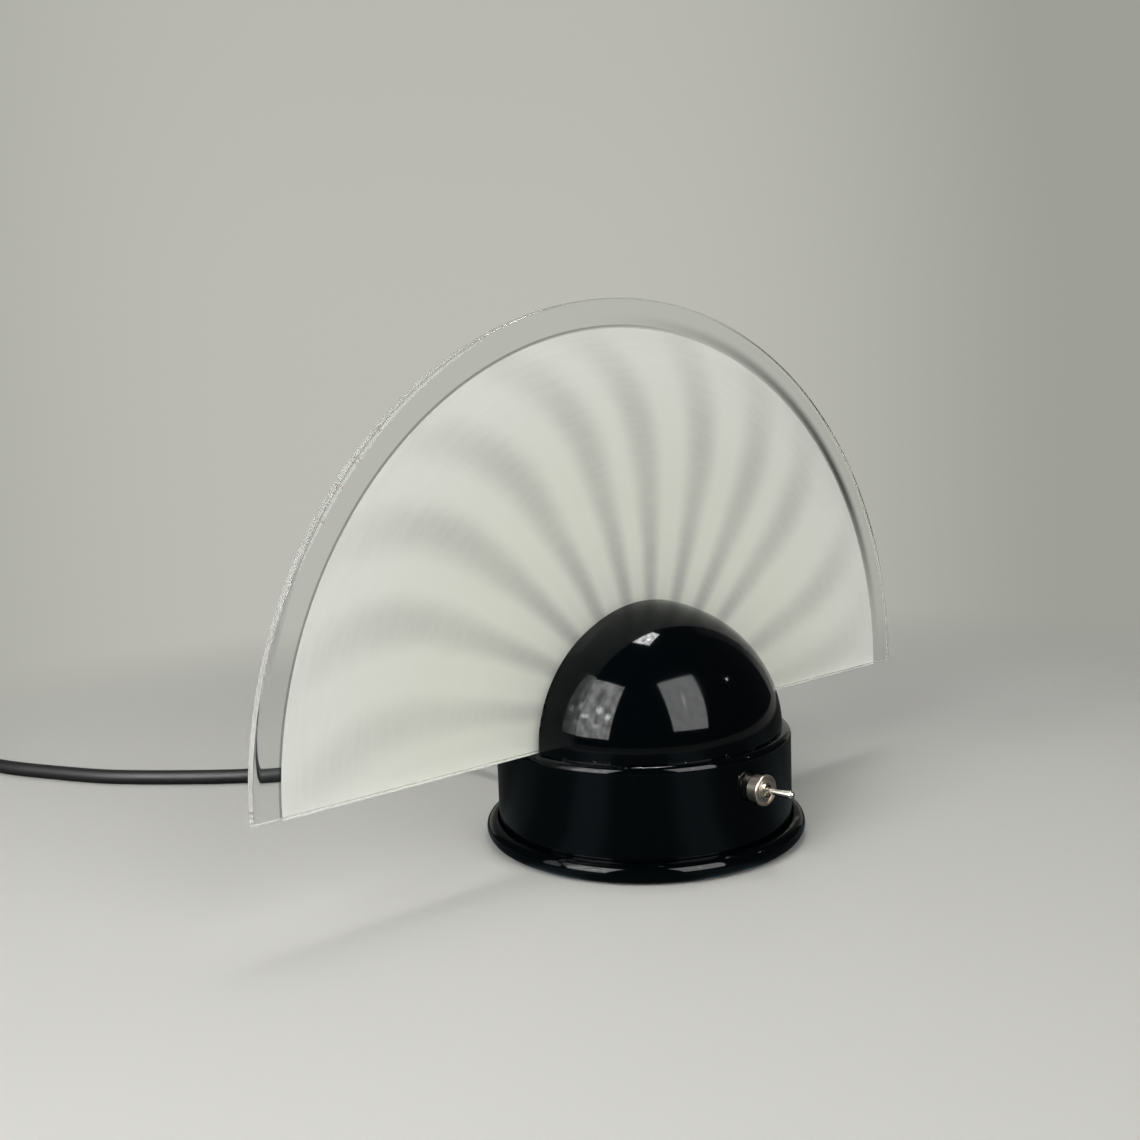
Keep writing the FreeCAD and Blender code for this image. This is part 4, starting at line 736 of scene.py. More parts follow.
@dataclass(frozen=True)
class StudioPaint(Finish):
    """Pale studio floor with a slight sheen, which runs into an even backdrop further out."""

    # painted light: tones of the glowing backdrop towards its bright side (far) and away from it (dim)
    far: Colour = (0.5, 0.5, 0.455)
    dim: Colour = (0.342, 0.347, 0.31)
    # painted reflections for gloss: the dark near floor and the paler window bands
    mirrored: Colour = (0.008, 0.012, 0.015)
    band: Colour = (0.2, 0.27, 0.3)
    painted_window_bands: tuple[Point, ...] = ((-76.3, 16.0, 1.0), (-13.9, 18.0, 0.85), (-128.7, 20.0, 0.35),
                                (50.3, 22.0, 0.25))
    dimmed: Pair = (0.52, 0.38)
    dimness: float = 0.88
    backdrop: Pair = (0.3, 0.62)
    spread_from: Pair = (-0.32, -0.33)
    bright_side: float = 34.0
    bright_edge: float = 0.86
    gloss: float = 0.45
    shine: float = 0.06

    def dress(self, net: Net) -> Signal:
        """Floor paint near the lamp; further out the even tone of a lit backdrop, for what is looked at.

        The tone goes with the cosine of the compass angle from the bright side, seen from one point of
        the floor, and falls a little with the height. In the lamp's gloss the near floor is dim, as the
        dark room makes it, with soft paler bands at four bearings from the drum below the windows.
        """
        x, y, z = net.split(net.place())
        cloud = net.noise(3.0, 2.0)
        grain = net.noise(900.0, 2.0)
        darker = tuple(part * 0.95 for part in self.colour)
        path = net.add("ShaderNodeLightPath")
        through = path["Is Transmission Ray"]
        glossy = path["Is Glossy Ray"] * (1 - through)
        floor = net.shader(
            Base_Color=(cloud * 0.8 + grain * 0.2).mix(self.colour, darker),
            Roughness=cloud * 0.06 + (self.gloss - 0.03),
            Specular_IOR_Level=self.shine,
        )
        away = (x * x + y * y).root()
        # painted light: the backdrop is brighter towards the bright side and a little darker higher up
        turn = math.radians(self.bright_side)
        out_x, out_y = x - self.spread_from[0], y - self.spread_from[1]
        reach = (out_x * out_x + out_y * out_y).root().above(0.01)
        facing = (out_x * math.sin(turn) + out_y * math.cos(turn)) / reach
        bright = facing.step(self.bright_edge, 1.0) - z.step(0.4, 1.3) * 0.12
        # painted dark reflection: in gloss the higher wall goes towards the dark colour
        tone = (z.step(0.2, 0.9) * glossy * 0.7).mix(bright.mix(self.dim, self.far), self.mirrored)
        seen = path["Is Camera Ray"].above(through).above(glossy)
        glow = net.add("ShaderNodeEmission", inputs={"Color": tone})
        lit = net.blend((away + z).step(*self.backdrop) * seen, floor, glow)
        # painted reflections of the windows: paler bands by bearing from the drum, seen in gloss
        bearing = x.angle(y * -1.0)
        pale: Number = 0.0
        for middle, width, level in self.painted_window_bands:
            pale = (bearing - middle).size().step(width, width * 0.3) * level + pale
        tone = pale.below(1.0).mix(self.mirrored, self.band)
        dark = net.add("ShaderNodeEmission", inputs={"Color": tone})
        # painted dark reflection: in gloss the near floor gives way to the dark colour with its bands
        return net.blend((away + z).step(*self.dimmed) * glossy * self.dimness, lit, dark)


class Look(Enum):
    """Every finish of the lamp."""

    BLACK_LACQUER = Lacquer("black_lacquer", (0.0006, 0.0013, 0.0017))
    CLEAR_GLASS = PlateGlass("clear_plate_glass", (0.945, 0.955, 0.94))
    BULB_GLASS = ClearGlass("clear_bulb_glass", (0.985, 0.985, 0.985))
    ENAMEL = SwirlEnamel("white_swirl_enamel", (0.935, 0.94, 0.912))
    NICKEL = Metal("bright_nickel", (0.78, 0.74, 0.68), gloss=0.18, grain=1500, depth=0.002, stained=0.3)
    SATIN = Metal("satin_nickel", (0.6, 0.54, 0.46), gloss=0.33, grain=1500, depth=0.002, stained=0.3)
    ZINC = Metal("zinc_plated_steel", (0.62, 0.63, 0.62), gloss=0.3, stain=(0.42, 0.4, 0.34), stained=0.5)
    DRAWN_ZINC = Metal("zinc_sheet", (0.6, 0.61, 0.6), gloss=0.32, grain=700, stretch=(1, 0.05, 1),
                       stain=(0.4, 0.38, 0.33), stained=0.5)
    BRASS = Metal("brass", (0.76, 0.57, 0.26), gloss=0.24, stain=(0.3, 0.2, 0.08), stained=0.5)
    ALUMINIUM = Metal("pressed_aluminium", (0.8, 0.8, 0.79), gloss=0.26, stained=0.15)
    TUNGSTEN = Metal("tungsten", (0.24, 0.24, 0.25), gloss=0.4)
    FELT = Felt("black_felt", (0.018, 0.018, 0.02))
    RUBBER = Moulded("black_rubber", (0.014, 0.014, 0.015), gloss=0.55, depth=0.02)
    CORD = Moulded("black_cord", (0.006, 0.006, 0.0065), gloss=0.5, stipple=1400)
    PLUG = Moulded("black_plug", (0.013, 0.013, 0.014), gloss=0.34)
    TIE = Moulded("tie_strap", (0.02, 0.02, 0.022), gloss=0.7, stipple=1500, depth=0.15)
    PHENOLIC = Moulded("dark_phenolic", (0.022, 0.016, 0.013), gloss=0.3)
    NYLON = Moulded("natural_nylon", (0.66, 0.65, 0.6), gloss=0.4)
    BLUE_LEAD = Moulded("lead_insulation", (0.05, 0.12, 0.36), gloss=0.38)
    BROWN_CORE = Moulded("core_insulation", (0.13, 0.055, 0.028), gloss=0.38)
    FLOOR = StudioPaint("studio_floor", (0.612, 0.607, 0.573))


def dressed(piece: bpy.types.Object, look: Look) -> bpy.types.Object:
    """Gives every material slot of a piece one finish."""
    material = look.value.material()
    if not piece.material_slots:
        piece.data.materials.append(material)
    for holder in piece.material_slots:
        holder.material = material
    return piece


def fitted(piece: bpy.types.Object, look: Look, slot: str, *nodes: str,
           body: Body = Body.LAMP) -> bpy.types.Object:
    """Finishes a piece: dresses it, lets it ride and says what it stands for.

    Args:
        piece: New piece.
        look: Its finish.
        slot: Material slot of the record.
        nodes: CAD nodes that it replaces.
        body: Body that it rides on.

    Returns:
        The piece.
    """
    dressed(piece, look)
    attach(piece, body.value)
    if nodes:
        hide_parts(*nodes)
    log.info("%s: %s, rides on %s, stands for %s", piece.name, look.name.lower(), body.value,
             ", ".join(nodes) or "no node")
    return piece


# Sub-assemblies

@dataclass
class Drum:
    """Spun cup with a closed top, a round corner and its foot rolled outwards into a bead."""

    radius: float = 60.0
    top: float = 43.0
    wall: float = 1.2
    corner: float = 3.0
    opening: float = 24.0
    bead: Pair = (61.4, 4.2)
    bead_tube: float = 3.8
    bead_slit: float = 0.9
    screw_hole: float = 1.6
    post_ring: float = 38.0
    bracket_screw: Pair = (46.0, 12.0)
    strap_screw: float = 32.25
    tab_ring: float = 50.9
    tab_turn: float = 20.0
    switch_bore: float = 3.05
    switch_height: float = 29.6
    cord_bore: float = 5.0
    cord_height: float = 15.0
    steps: int = 360

    def profile(self) -> np.ndarray:
        """Closed section of the wall: outside down to the bead, round the bead, back up inside."""
        centre_r = self.bead[0]
        hollow = self.bead_tube - self.wall

        def meets(radius: float, tube: float) -> float:
            """Angle on the bead where its circle reaches a radius from the drum's axis."""
            return math.degrees(math.acos((radius - centre_r) / tube))

        lip = 360 + meets(self.radius + self.bead_slit, self.bead_tube)
        inside = self.radius - self.wall
        centre = (self.radius - self.corner, self.top - self.corner)
        underside = self.top - self.wall
        return joined(
            [(self.opening, self.top), (centre[0], self.top)],
            arc(centre, self.corner, 90, 0, 14),
            arc(self.bead, hollow, meets(self.radius, hollow), lip, 36),
            arc(self.bead, self.bead_tube, lip, meets(inside, self.bead_tube), 60),
            arc(centre, self.corner - self.wall, 0, 90, 8),
            [(self.opening, underside), (self.opening, self.top)],
        )

    def bores(self) -> Skin:
        """Screw holes in the top and the holes of switch and cord in the wall."""
        base = self.top - 2 * self.wall
        half = self.post_ring * math.sqrt(0.5)
        turn = math.radians(self.tab_turn)
        places = mirrored(half, half) + mirrored(*self.bracket_screw)
        places += [(side * self.strap_screw, 0.0) for side in (-1, 1)]
        places += mirrored(self.tab_ring * math.sin(turn), self.tab_ring * math.cos(turn))
        holes = Skin()
        for place in places:
            holes.add(rod(self.screw_hole, 4 * self.wall, (*place, base), Axis.UP, 24))
        through = 6 * self.wall
        start = self.radius - through / 2
        holes.add(rod(self.switch_bore, through, (0, -start, self.switch_height), Axis.FRONT))
        holes.add(rod(self.cord_bore, through, (0, start, self.cord_height), Axis.BACK))
        return holes

    def build(self) -> None:
        """Makes the drum."""
        piece = Skin().add(turned(self.profile(), self.steps)).object("drum_shell")
        bored(piece, self.bores())
        fitted(piece, Look.BLACK_LACQUER, "black_lacquer", "base_drum")


@dataclass
class Domes:
    """Two quarter ellipsoids that stand on the drum, one on each side of the glass."""

    radius: float = 56.6
    height: float = 52.0
    wall: float = 1.2
    foot: float = 43.0
    gap: float = 2.8
    edge: float = 0.22
    rows: int = 72
    columns: int = 144

    def shell(self, radius: float, height: float, side: float) -> np.ndarray:
        """Ellipsoid cut by the plane of the glass, in half ellipses across it.

        A row lies at y = side * radius * sin(a), with a from the cut to 90 degrees, and is the half
        ellipse x = radius cos(a) cos(t), z = foot + height cos(a) sin(t), with t from 0 to 180 degrees.
        """
        lean = np.linspace(math.asin(self.gap / radius), math.pi / 2, self.rows + 1)[:, None]
        turn = np.linspace(0, math.pi, self.columns + 1)[None, :]
        x = radius * np.cos(lean) * np.cos(turn)
        y = side * radius * np.sin(lean) * np.ones_like(turn)
        z = self.foot + height * np.cos(lean) * np.sin(turn)
        return np.stack((x, y, z), axis=-1)

    def build(self) -> None:
        """Makes both domes."""
        for name, side in (("front_dome", -1.0), ("rear_dome", 1.0)):
            outer = self.shell(self.radius, self.height, side)
            inner = self.shell(self.radius - self.wall, self.height - self.wall, side)
            skin = Skin().add(outer).add(inner)
            skin.between(outer[0], inner[0])
            skin.between(outer[:, 0], inner[:, 0]).between(outer[:, -1], inner[:, -1])
            piece = skin.object(name + "_shell")
            eased(piece, self.edge)
            fitted(piece, Look.BLACK_LACQUER, "black_lacquer", name)


@dataclass
class GlassFan:
    """Half disc of plate glass with an arched notch at its foot, and the white enamel on its back."""

    radius: float = 171.0
    thickness: float = 5.0
    base: float = 43.5
    edge_front: Pair = (2.4, 1.3)
    edge_back: Pair = (1.0, 1.0)
    edge_steps: int = 12
    flat_ring: float = 0.1
    arris: float = 0.35
    notch: Pair = (40.0, 46.0)
    bolt_hole: float = 3.5
    bolt_place: Pair = (46.0, 53.5)
    enamel_outer: Pair = (160.1, 159.7)
    enamel_inner: Pair = (54.4, 49.6)
    enamel_foot: float = 43.85
    enamel_face: float = 2.48
    enamel_back: float = 2.7
    columns: int = 1000

    def outline(self, inset: float, y: float) -> tuple[np.ndarray, np.ndarray]:
        """Notch ellipse and rim circle at one depth.

        The rim is drawn in by the inset, foot and notch by their narrow arris. Both arcs run from the
        right foot to the left one, with an angle from asin(arris / height) to 180 degrees less that.
        """
        share = np.linspace(0, 1, self.columns + 1)
        foot = max(0.0, self.arris - (self.thickness / 2 - abs(y)))
        arcs = []
        for across, up in (np.asarray(self.notch) + foot, (self.radius - inset, self.radius - inset)):
            low = math.asin(foot / up)
            turn = low + (math.pi - 2 * low) * share
            arcs.append(np.column_stack((across * np.cos(turn), np.full_like(turn, y),
                                         self.base + up * np.sin(turn))))
        return arcs[0], arcs[1]

    def plate(self) -> bpy.types.Object:
        """The glass: two faces, a rim with a round polished edge, foot and notch with a flat ground one.

        Over the rim's edge the inset goes as width (1 - sin a) and the depth as depth (1 - cos a), with a
        from 0 to 90 degrees at the front and back again at the back. A narrow flat ring keeps the faces
        flat where they meet it.
        """
        half = self.thickness / 2
        turn = np.radians(np.linspace(0, 90, self.edge_steps + 1))[:, None]
        bow = np.hstack((1 - np.sin(turn), 1 - np.cos(turn)))
        front = bow * self.edge_front - (0, half)
        back = (bow * self.edge_back * (1, -1) + (0, half))[::-1]
        flat = ((front[0, 0] + self.flat_ring, -half), (back[-1, 0] + self.flat_ring, half))
        rows = [self.outline(inset, y) for inset, y in joined([flat[0]], front, back, [flat[1]])]
        skin = Skin().add(np.stack([np.vstack((notch, rim[::-1], notch[:1])) for notch, rim in rows]))
        for notch, rim in (rows[0], rows[-1]):
            skin.between(notch, rim)
        return skin.object("glass_plate", 30)

    def enamel(self) -> bpy.types.Object:
        """The coat: a half ring between two ellipses, cut level at its foot.

        The angle of each row runs from asin(foot / half height) to 180 degrees less that.
        """
        front = np.linspace(self.enamel_inner, self.enamel_outer, 8)
        across, up = np.concatenate((front, front[::-1], front[:1])).T[:, :, None]
        depth = np.repeat((self.enamel_face, self.enamel_back), 8)
        depth = np.concatenate((depth, depth[:1]))[:, None]
        low = np.arcsin((self.enamel_foot - self.base) / up)
        share = np.linspace(0, 1, self.columns + 1)[None, :]
        turn = low + (math.pi - 2 * low) * share
        grid = np.stack((across * np.cos(turn), depth + 0 * turn, self.base + up * np.sin(turn)), axis=-1)
        skin = Skin().add(grid)
        for end in (0, -1):
            skin.between(grid[:8, end], grid[8:16, end][::-1])
        return skin.object("enamel_coat", 30)

    def build(self) -> None:
        """Makes the glass with its two bolt holes, and the enamel."""
        plate = self.plate()
        holes = Skin()
        for side in (-1, 1):
            start = (side * self.bolt_place[0], -self.thickness, self.bolt_place[1])
            holes.add(rod(self.bolt_hole, 2 * self.thickness, start, Axis.BACK, 32))
        bored(plate, holes, 30)
        fitted(plate, Look.CLEAR_GLASS, "clear_glass", "glass_fan")
        fitted(self.enamel(), Look.ENAMEL, "white_enamel", "white_enamel")


@dataclass
class ToggleSwitch:
    """Dress nut with its grooved ring, and the bat lever tilted to its resting side."""

    height: float = 29.6
    wall: float = 60.0
    bore: float = 3.0
    collar: float = 5.0
    front: float = 65.4
    flare: float = 0.5
    ring: float = 5.85
    ring_width: float = 1.3
    ring_round: float = 0.5
    foot_round: float = 0.15
    groove: tuple[Pair, ...] = ((5.08, 0.08), (4.95, 0.8), (4.15, 0.9), (4.0, 0.35), (3.75, 0.2),
                                (3.2, 0.2), (3.0, 0.4))
    pivot: float = 62.3
    ball: float = 2.25
    tip: float = 1.5
    reach: float = 12.7
    root: float = 0.95
    shank: float = 0.75
    cup: float = 1.25
    cup_bore: float = 0.85
    cup_low: float = -11.88
    cup_length: float = 4.4
    cup_floor: float = 0.6
    tilt: float = 10.0
    steps: int = 96

    def nut(self) -> bpy.types.Object:
        """Dress nut: collar, small flare, ring with a round edge, a groove in its face and an inner ring."""
        ring = self.front - self.ring_width
        edge = (self.ring - self.ring_round, self.front - self.ring_round)
        profile = joined(
            [(self.bore, self.wall), (self.collar, self.wall)],
            arc((self.collar + self.flare, ring - self.flare), self.flare, 180, 90, 6),
            arc((self.ring - self.foot_round, ring + self.foot_round), self.foot_round, -90, 0, 4),
            arc(edge, self.ring_round, 0, 100, 10),
            [(radius, self.front - depth) for radius, depth in self.groove], [(self.bore, self.wall)],
        )
        grid = turned(profile, self.steps, Axis.FRONT, (0, 0, self.height))
        return Skin().add(grid).object("dress_nut", 40)

    def bat(self) -> bpy.types.Object:
        """Lever: round tip, taper to the ball at the pivot, shank and cup inside the switch.

        Heights of the profile are counted from the pivot towards the tip. The turned shape lies along
        (sin tilt, -cos tilt) in plan.
        """
        taper = math.degrees(math.asin((self.tip - self.root) / self.reach))
        neck = math.degrees(math.acos(self.root / self.ball))
        low = self.cup_low
        high = low + self.cup_length
        profile = joined(
            arc((0, self.reach), self.tip, 90, -taper, 14),
            arc((0, 0), self.ball, neck, -math.degrees(math.acos(self.shank / self.ball)), 24),
            [(self.shank, high + self.cup - self.shank), (self.cup, high), (self.cup, low),
             (self.cup_bore, low), (self.cup_bore, high - self.cup_floor), (0, high - self.cup_floor)],
        )
        grid = turned(profile, 48, Axis.FRONT)
        lean = math.radians(self.tilt)
        cos, sin = math.cos(lean), math.sin(lean)
        turn = np.array([[cos, -sin, 0], [sin, cos, 0], [0, 0, 1]])
        grid = grid @ turn.T + np.array((0, -self.pivot, self.height))
        return Skin().add(grid).object("bat_lever", 40)

    def build(self) -> None:
        """Makes nut and lever."""
        fitted(self.nut(), Look.SATIN, "nickel", "switch_dress_nut")
        fitted(self.bat(), Look.NICKEL, "nickel", "switch_lever", body=Body.LEVER)


@dataclass
class Relief:
    """Moulded bush in the drum's wall with a tapered, grooved relief on the cord."""

    height: float = 15.0
    inside: float = 57.0
    lip: float = 5.7
    lip_face: float = 58.47
    groove: float = 4.9
    wall: float = 60.05
    flange: float = 6.3
    start: float = 61.95
    end: float = 89.95
    root: float = 5.2
    nose: float = 3.9
    rings: int = 8
    groove_depth: Pair = (0.55, 0.45)
    shoulder: float = 0.6
    nose_round: float = 0.35

    def build(self) -> None:
        """Makes the relief: the taper carries shallow round grooves, deepest in its middle."""
        along = np.linspace(0.0, 1.0, 161)
        deepest, lost = self.groove_depth
        depth = deepest * grooves(along, self.rings, 0.12, 0.12) * (1 - lost * along)
        radius = self.root + (self.nose - self.root) * along - depth
        taper = np.column_stack((radius, self.start + (self.end - self.start) * along))
        profile = joined(
            [(0, self.inside), (self.lip - 1, self.inside), (self.lip, self.lip_face),
             (self.groove, self.lip_face), (self.groove, self.wall), (self.flange, self.wall)],
            corner(self.flange, self.start, self.shoulder, 6),
            taper[:-3],
            corner(self.nose, self.end, self.nose_round, 4),
            [(0, self.end)],
        )
        grid = turned(profile, 72, Axis.BACK, (0, 0, self.height))
        fitted(Skin().add(grid).object("cord_relief", 40), Look.RUBBER, "black_rubber", "strain_relief")


@dataclass
class MainsCord:
    """The cord: out of its relief, over the surface, in a tied coil and on to its plug."""

    radius: float = 3.4
    length: float = 1.7
    way: tuple[Point, ...] = (
        (0, 89.95, 15), (0, 107, 15), (-4, 125.5, 9.5), (-14, 144, 4.2), (-30, 157, 3.4),
        (-57, 164, 3.4), (-87.5, 176.5, 3.4), (-134.5, 224, 3.4), (-149.5, 246.5, 3.4), (-178, 299.5, 3.4),
        (-181, 340, 3.6),
    )
    end_way: tuple[Point, ...] = ((-272.3, 348, 10.3), (-272.5, 326, 6.85), (-272.5, 310, 6.85))
    centre: Pair = (-228.5, 362.5)
    turns: tuple[float, ...] = (44.2, 37.5, 30.7, 30.7, 37.5, 44.2)
    layers: Pair = (4.0, 10.8)
    first: float = 20.0
    last: float = 1980.0
    points_a_turn: int = 16
    change: Pair = (290.0, 350.0)
    duck: float = 3.0
    tie_angle: float = 55.0
    tie_width: float = 8.0
    tie_thickness: float = 0.9

    def coil(self) -> np.ndarray:
        """Control points of the coil's turns.

        A point at turning angle a lies at radius R(a) and height z(a) about the coil's centre. R steps
        from each turn to the next between the two angles of change, and between the two layers the
        height steps up while the radius ducks inwards. R is divided by the share of its polygon at
        which such a curve runs, (1 + cos²) / 2.
        """
        step = 360.0 / self.points_a_turn
        angle = np.arange(self.first, self.last + step / 2, step)
        rise = (angle - self.change[0]) / (self.change[1] - self.change[0])
        passed = np.floor(rise * (self.change[1] - self.change[0]) / 360.0)
        share = smooth(rise - passed * 360.0 / (self.change[1] - self.change[0]))
        place = np.clip(passed + share, 0, len(self.turns) - 1)
        radius = np.interp(place, np.arange(len(self.turns)), self.turns)
        up = np.clip(place - 2.0, 0.0, 1.0)
        radius = radius - self.duck * np.sin(math.pi * up)
        height = self.layers[0] + (self.layers[1] - self.layers[0]) * up
        radius = radius / ((1 + math.cos(math.pi / self.points_a_turn) ** 2) / 2)
        turn = np.radians(angle)
        return np.column_stack((self.centre[0] + radius * np.cos(turn),
                                self.centre[1] + radius * np.sin(turn), height))

    def line(self) -> bpy.types.Object:
        """The cord as one NURBS curve with a round section."""
        points = np.vstack((self.way, self.coil(), self.end_way)) * MM
        curve = bpy.data.curves.new("mains_cord", "CURVE")
        curve.dimensions = "3D"
        spline = curve.splines.new("NURBS")
        spline.points.add(len(points) - 1)
        spline.points.foreach_set("co", np.column_stack((points, np.ones(len(points)))).ravel())
        spline.order_u = 3
        spline.use_endpoint_u = True
        spline.use_smooth = True
        curve.resolution_u = 6
        curve.bevel_depth = self.radius * MM
        curve.bevel_resolution = 7
        curve.use_fill_caps = True
        return linked("mains_cord", curve)

    def tie(self) -> bpy.types.Object:
        """Strap round the coil: a thin section carried round a rounded rectangle, with its end lapped."""
        middle = (self.turns[0] + self.turns[2]) / 2
        half = ((self.turns[0] - self.turns[2]) / 2 + self.radius, (self.layers[1] - self.layers[0]) / 2
                + self.radius)
        level = (self.layers[0] + self.layers[1]) / 2
        reach = (half[0] - self.radius, half[1] - self.radius)
        round_to = self.radius + self.tie_thickness / 2
        loop = joined(*[arc((reach[0] * x, reach[1] * z), round_to, start, start + 90, 10)
                        for x, z, start in ((1, 1, 0), (-1, 1, 90), (-1, -1, 180), (1, -1, 270))])
        loop = np.vstack((loop, loop[:1]))
        run = np.gradient(loop, axis=0)
        run[0] = run[-1] = loop[1] - loop[-2]
        run /= np.linalg.norm(run, axis=1)[:, None]
        normal = np.column_stack((run[:, 1], -run[:, 0]))
        ring = superellipse(np.array([self.tie_thickness / 2]), np.array([self.tie_width / 2]),
                            np.array([6.0]), 32)[0]
        flat = loop[:, None, :] + normal[:, None, :] * ring[None, :, :1]
        turn = math.radians(self.tie_angle)
        out, side = np.array((math.cos(turn), math.sin(turn))), np.array((-math.sin(turn), math.cos(turn)))
        plan = (middle + flat[..., :1]) * out + ring[None, :, 1:] * side + np.asarray(self.centre)
        rise = np.maximum(flat[..., 1:] + level, 0.02)
        return Skin().add(np.concatenate((plan, rise), axis=-1)).object("cord_tie_strap", 50)

    def build(self, plug: "Plug") -> None:
        """Makes cord and tie and declares them with the plug.

        Args:
            plug: The plug, built before.
        """
        cord = fitted(self.line(), Look.CORD, "cord_pvc", "cord_lead", "cord_coil")
        tie = fitted(self.tie(), Look.TIE, "cord_tie", "cord_tie")


@dataclass
class Plug:
    """Flat two-pin plug with a grooved sleeve."""

    x: float = -272.5
    tail: float = 310.0
    waist: float = 290.0
    face: float = 256.0
    height: float = 6.85
    sleeve: Pair = (3.8, 5.0)
    half_waist: Pair = (8.0, 5.85)
    half_face: Pair = (17.5, 6.85)
    rings: int = 5
    pin_pitch: float = 19.0
    pin_radius: float = 2.0
    pin_root: float = 1.6
    pin_seat: float = 12.0
    pin_length: float = 19.0
    pin_nose: float = 1.0
    groove_depth: float = 0.4
    rounding: float = 1.2
    body_piece: Optional[bpy.types.Object] = field(default=None, init=False)
    pins_piece: Optional[bpy.types.Object] = field(default=None, init=False)

    def shell(self) -> bpy.types.Object:
        """Body: superellipses along the plug, from the round sleeve to the flat face with round edges."""
        sleeve = np.linspace(0.0, 1.0, 81)
        depth = self.groove_depth * grooves(sleeve, self.rings, 0.15, 0.1)
        radius = self.sleeve[0] + (self.sleeve[1] - self.sleeve[0]) * sleeve - depth
        grip = np.linspace(0.0, 1.0, 60)[1:]
        widen = smooth(grip / 0.62)
        wide = self.sleeve[1] + (self.half_waist[0] - self.sleeve[1]) * smooth(grip / 0.08)
        wide = wide + (self.half_face[0] - self.half_waist[0]) * widen
        high = self.sleeve[1] + (self.half_waist[1] - self.sleeve[1]) * smooth(grip / 0.08)
        high = high + (self.half_face[1] - self.half_waist[1]) * widen
        power = 2.0 + 2.0 * smooth(grip / 0.25)
        edge = np.radians(np.linspace(0, 90, 8))[1:]
        inward = self.rounding * (1 - np.cos(edge))
        length = self.waist - self.face - self.rounding
        y = np.concatenate((self.tail - (self.tail - self.waist) * sleeve, self.waist - length * grip,
                            self.face + self.rounding - self.rounding * np.sin(edge)))
        width = np.concatenate((radius, wide, wide[-1] - inward))
        height = np.concatenate((radius, high, high[-1] - inward))
        exponent = np.concatenate((np.full(len(sleeve), 2.0), power, np.full(len(edge), power[-1])))
        flat = superellipse(width, height, exponent, 96)
        depth = np.repeat(y[:, None], flat.shape[1], axis=1)
        grid = np.stack((self.x + flat[..., 0], depth, self.height + flat[..., 1]), axis=-1)
        tail, face = (np.tile([[[self.x, end, self.height]]], (1, grid.shape[1], 1))
                      for end in (y[0], y[-1]))
        return Skin().add(np.concatenate((tail, grid, face))).object("plug_shell", 50)

    def pins(self) -> bpy.types.Object:
        """Two round pins with a small nose."""
        free = self.pin_length
        profile = joined(
            [(0, -self.pin_seat), (self.pin_root, -self.pin_seat), (self.pin_root, 0), (self.pin_radius, 0),
             (self.pin_radius, free - self.pin_nose)],
            corner(self.pin_radius, free, self.pin_nose, 6), [(0, free)],
        )
        skin = Skin()
        for side in (-1, 1):
            skin.add(turned(profile, 40, Axis.FRONT,
                            (self.x + side * self.pin_pitch / 2, self.face, self.height)))
        return skin.object("plug_pin_pair", 40)

    def build(self) -> None:
        """Makes the body, bores the seats of the pins, and makes the pins."""
        self.body_piece = self.shell()
        seats = Skin()
        for side in (-1, 1):
            start = (self.x + side * self.pin_pitch / 2, self.face + self.pin_seat, self.height)
            seats.add(rod(self.pin_root, self.pin_seat + 2, start, Axis.FRONT, 40))
        bored(self.body_piece, seats, 50)
        fitted(self.body_piece, Look.PLUG, "cord_pvc", "plug_body")
        self.pins_piece = fitted(self.pins(), Look.NICKEL, "nickel", "plug_pins")


@dataclass
class InnerWorks:
    """Finishes of the CAD pieces that are seen through openings or not at all."""

    looks: tuple[tuple[Look, tuple[str, ...]], ...] = (
        (Look.DRAWN_ZINC, ("base_plate", "holder_strap", "glass_brackets")),
        (Look.ZINC, ("drum_posts", "post_screws", "plate_screws", "dome_screws", "glass_bolts",
                     "glass_bolt_nuts", "bracket_screws", "bracket_nuts", "strap_screws", "strap_nuts",
                     "nipple", "nipple_nut", "clamp_screws", "terminal_screws", "lever_pin",
                     "plunger_spring")),
        (Look.RUBBER, ("glass_seats", "glass_pads", "glass_bushes")),
        (Look.PHENOLIC, ("holder_body", "holder_insert", "switch_body", "switch_plunger", "bulb_insulator")),
        (Look.BRASS, ("holder_screw_shell", "holder_contact", "bulb_contact", "switch_terminals",
                      "rocker_contact", "terminal_inserts")),
        (Look.ALUMINIUM, ("bulb_cap",)),
        (Look.BULB_GLASS, ("bulb_glass", "bulb_stem")),
        (Look.TUNGSTEN, ("bulb_filament",)),
        (Look.NICKEL, ("switch_bushing", "switch_inner_nut")),
        (Look.NYLON, ("clamp_saddle", "clamp_cap", "terminal_block")),
        (Look.CORD, ("cord_inner_tail",)),
        (Look.BROWN_CORE, ("supply_cores",)),
        (Look.BLUE_LEAD, ("lamp_leads",)),
        (Look.FELT, ("felt_disc",)),
    )

    def build(self) -> None:
        """Dresses the CAD nodes that stay."""
        for look, names in self.looks:
            for name in names:
                dressed(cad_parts[name], look)
            log.info("%s: %s", look.name.lower(), ", ".join(names))


@dataclass(frozen=True)
class SoftBox:
    """Flat lamp that looks at the dome: where it stands, how large, turned and bright it is."""

    name: str
    azimuth: float
    elevation: float
    distance: float
    size: Pair
    radiance: float
    roll: float = 0.0
    mottle: float = 0.0
    shape: str = "RECTANGLE"
    glossy: bool = True


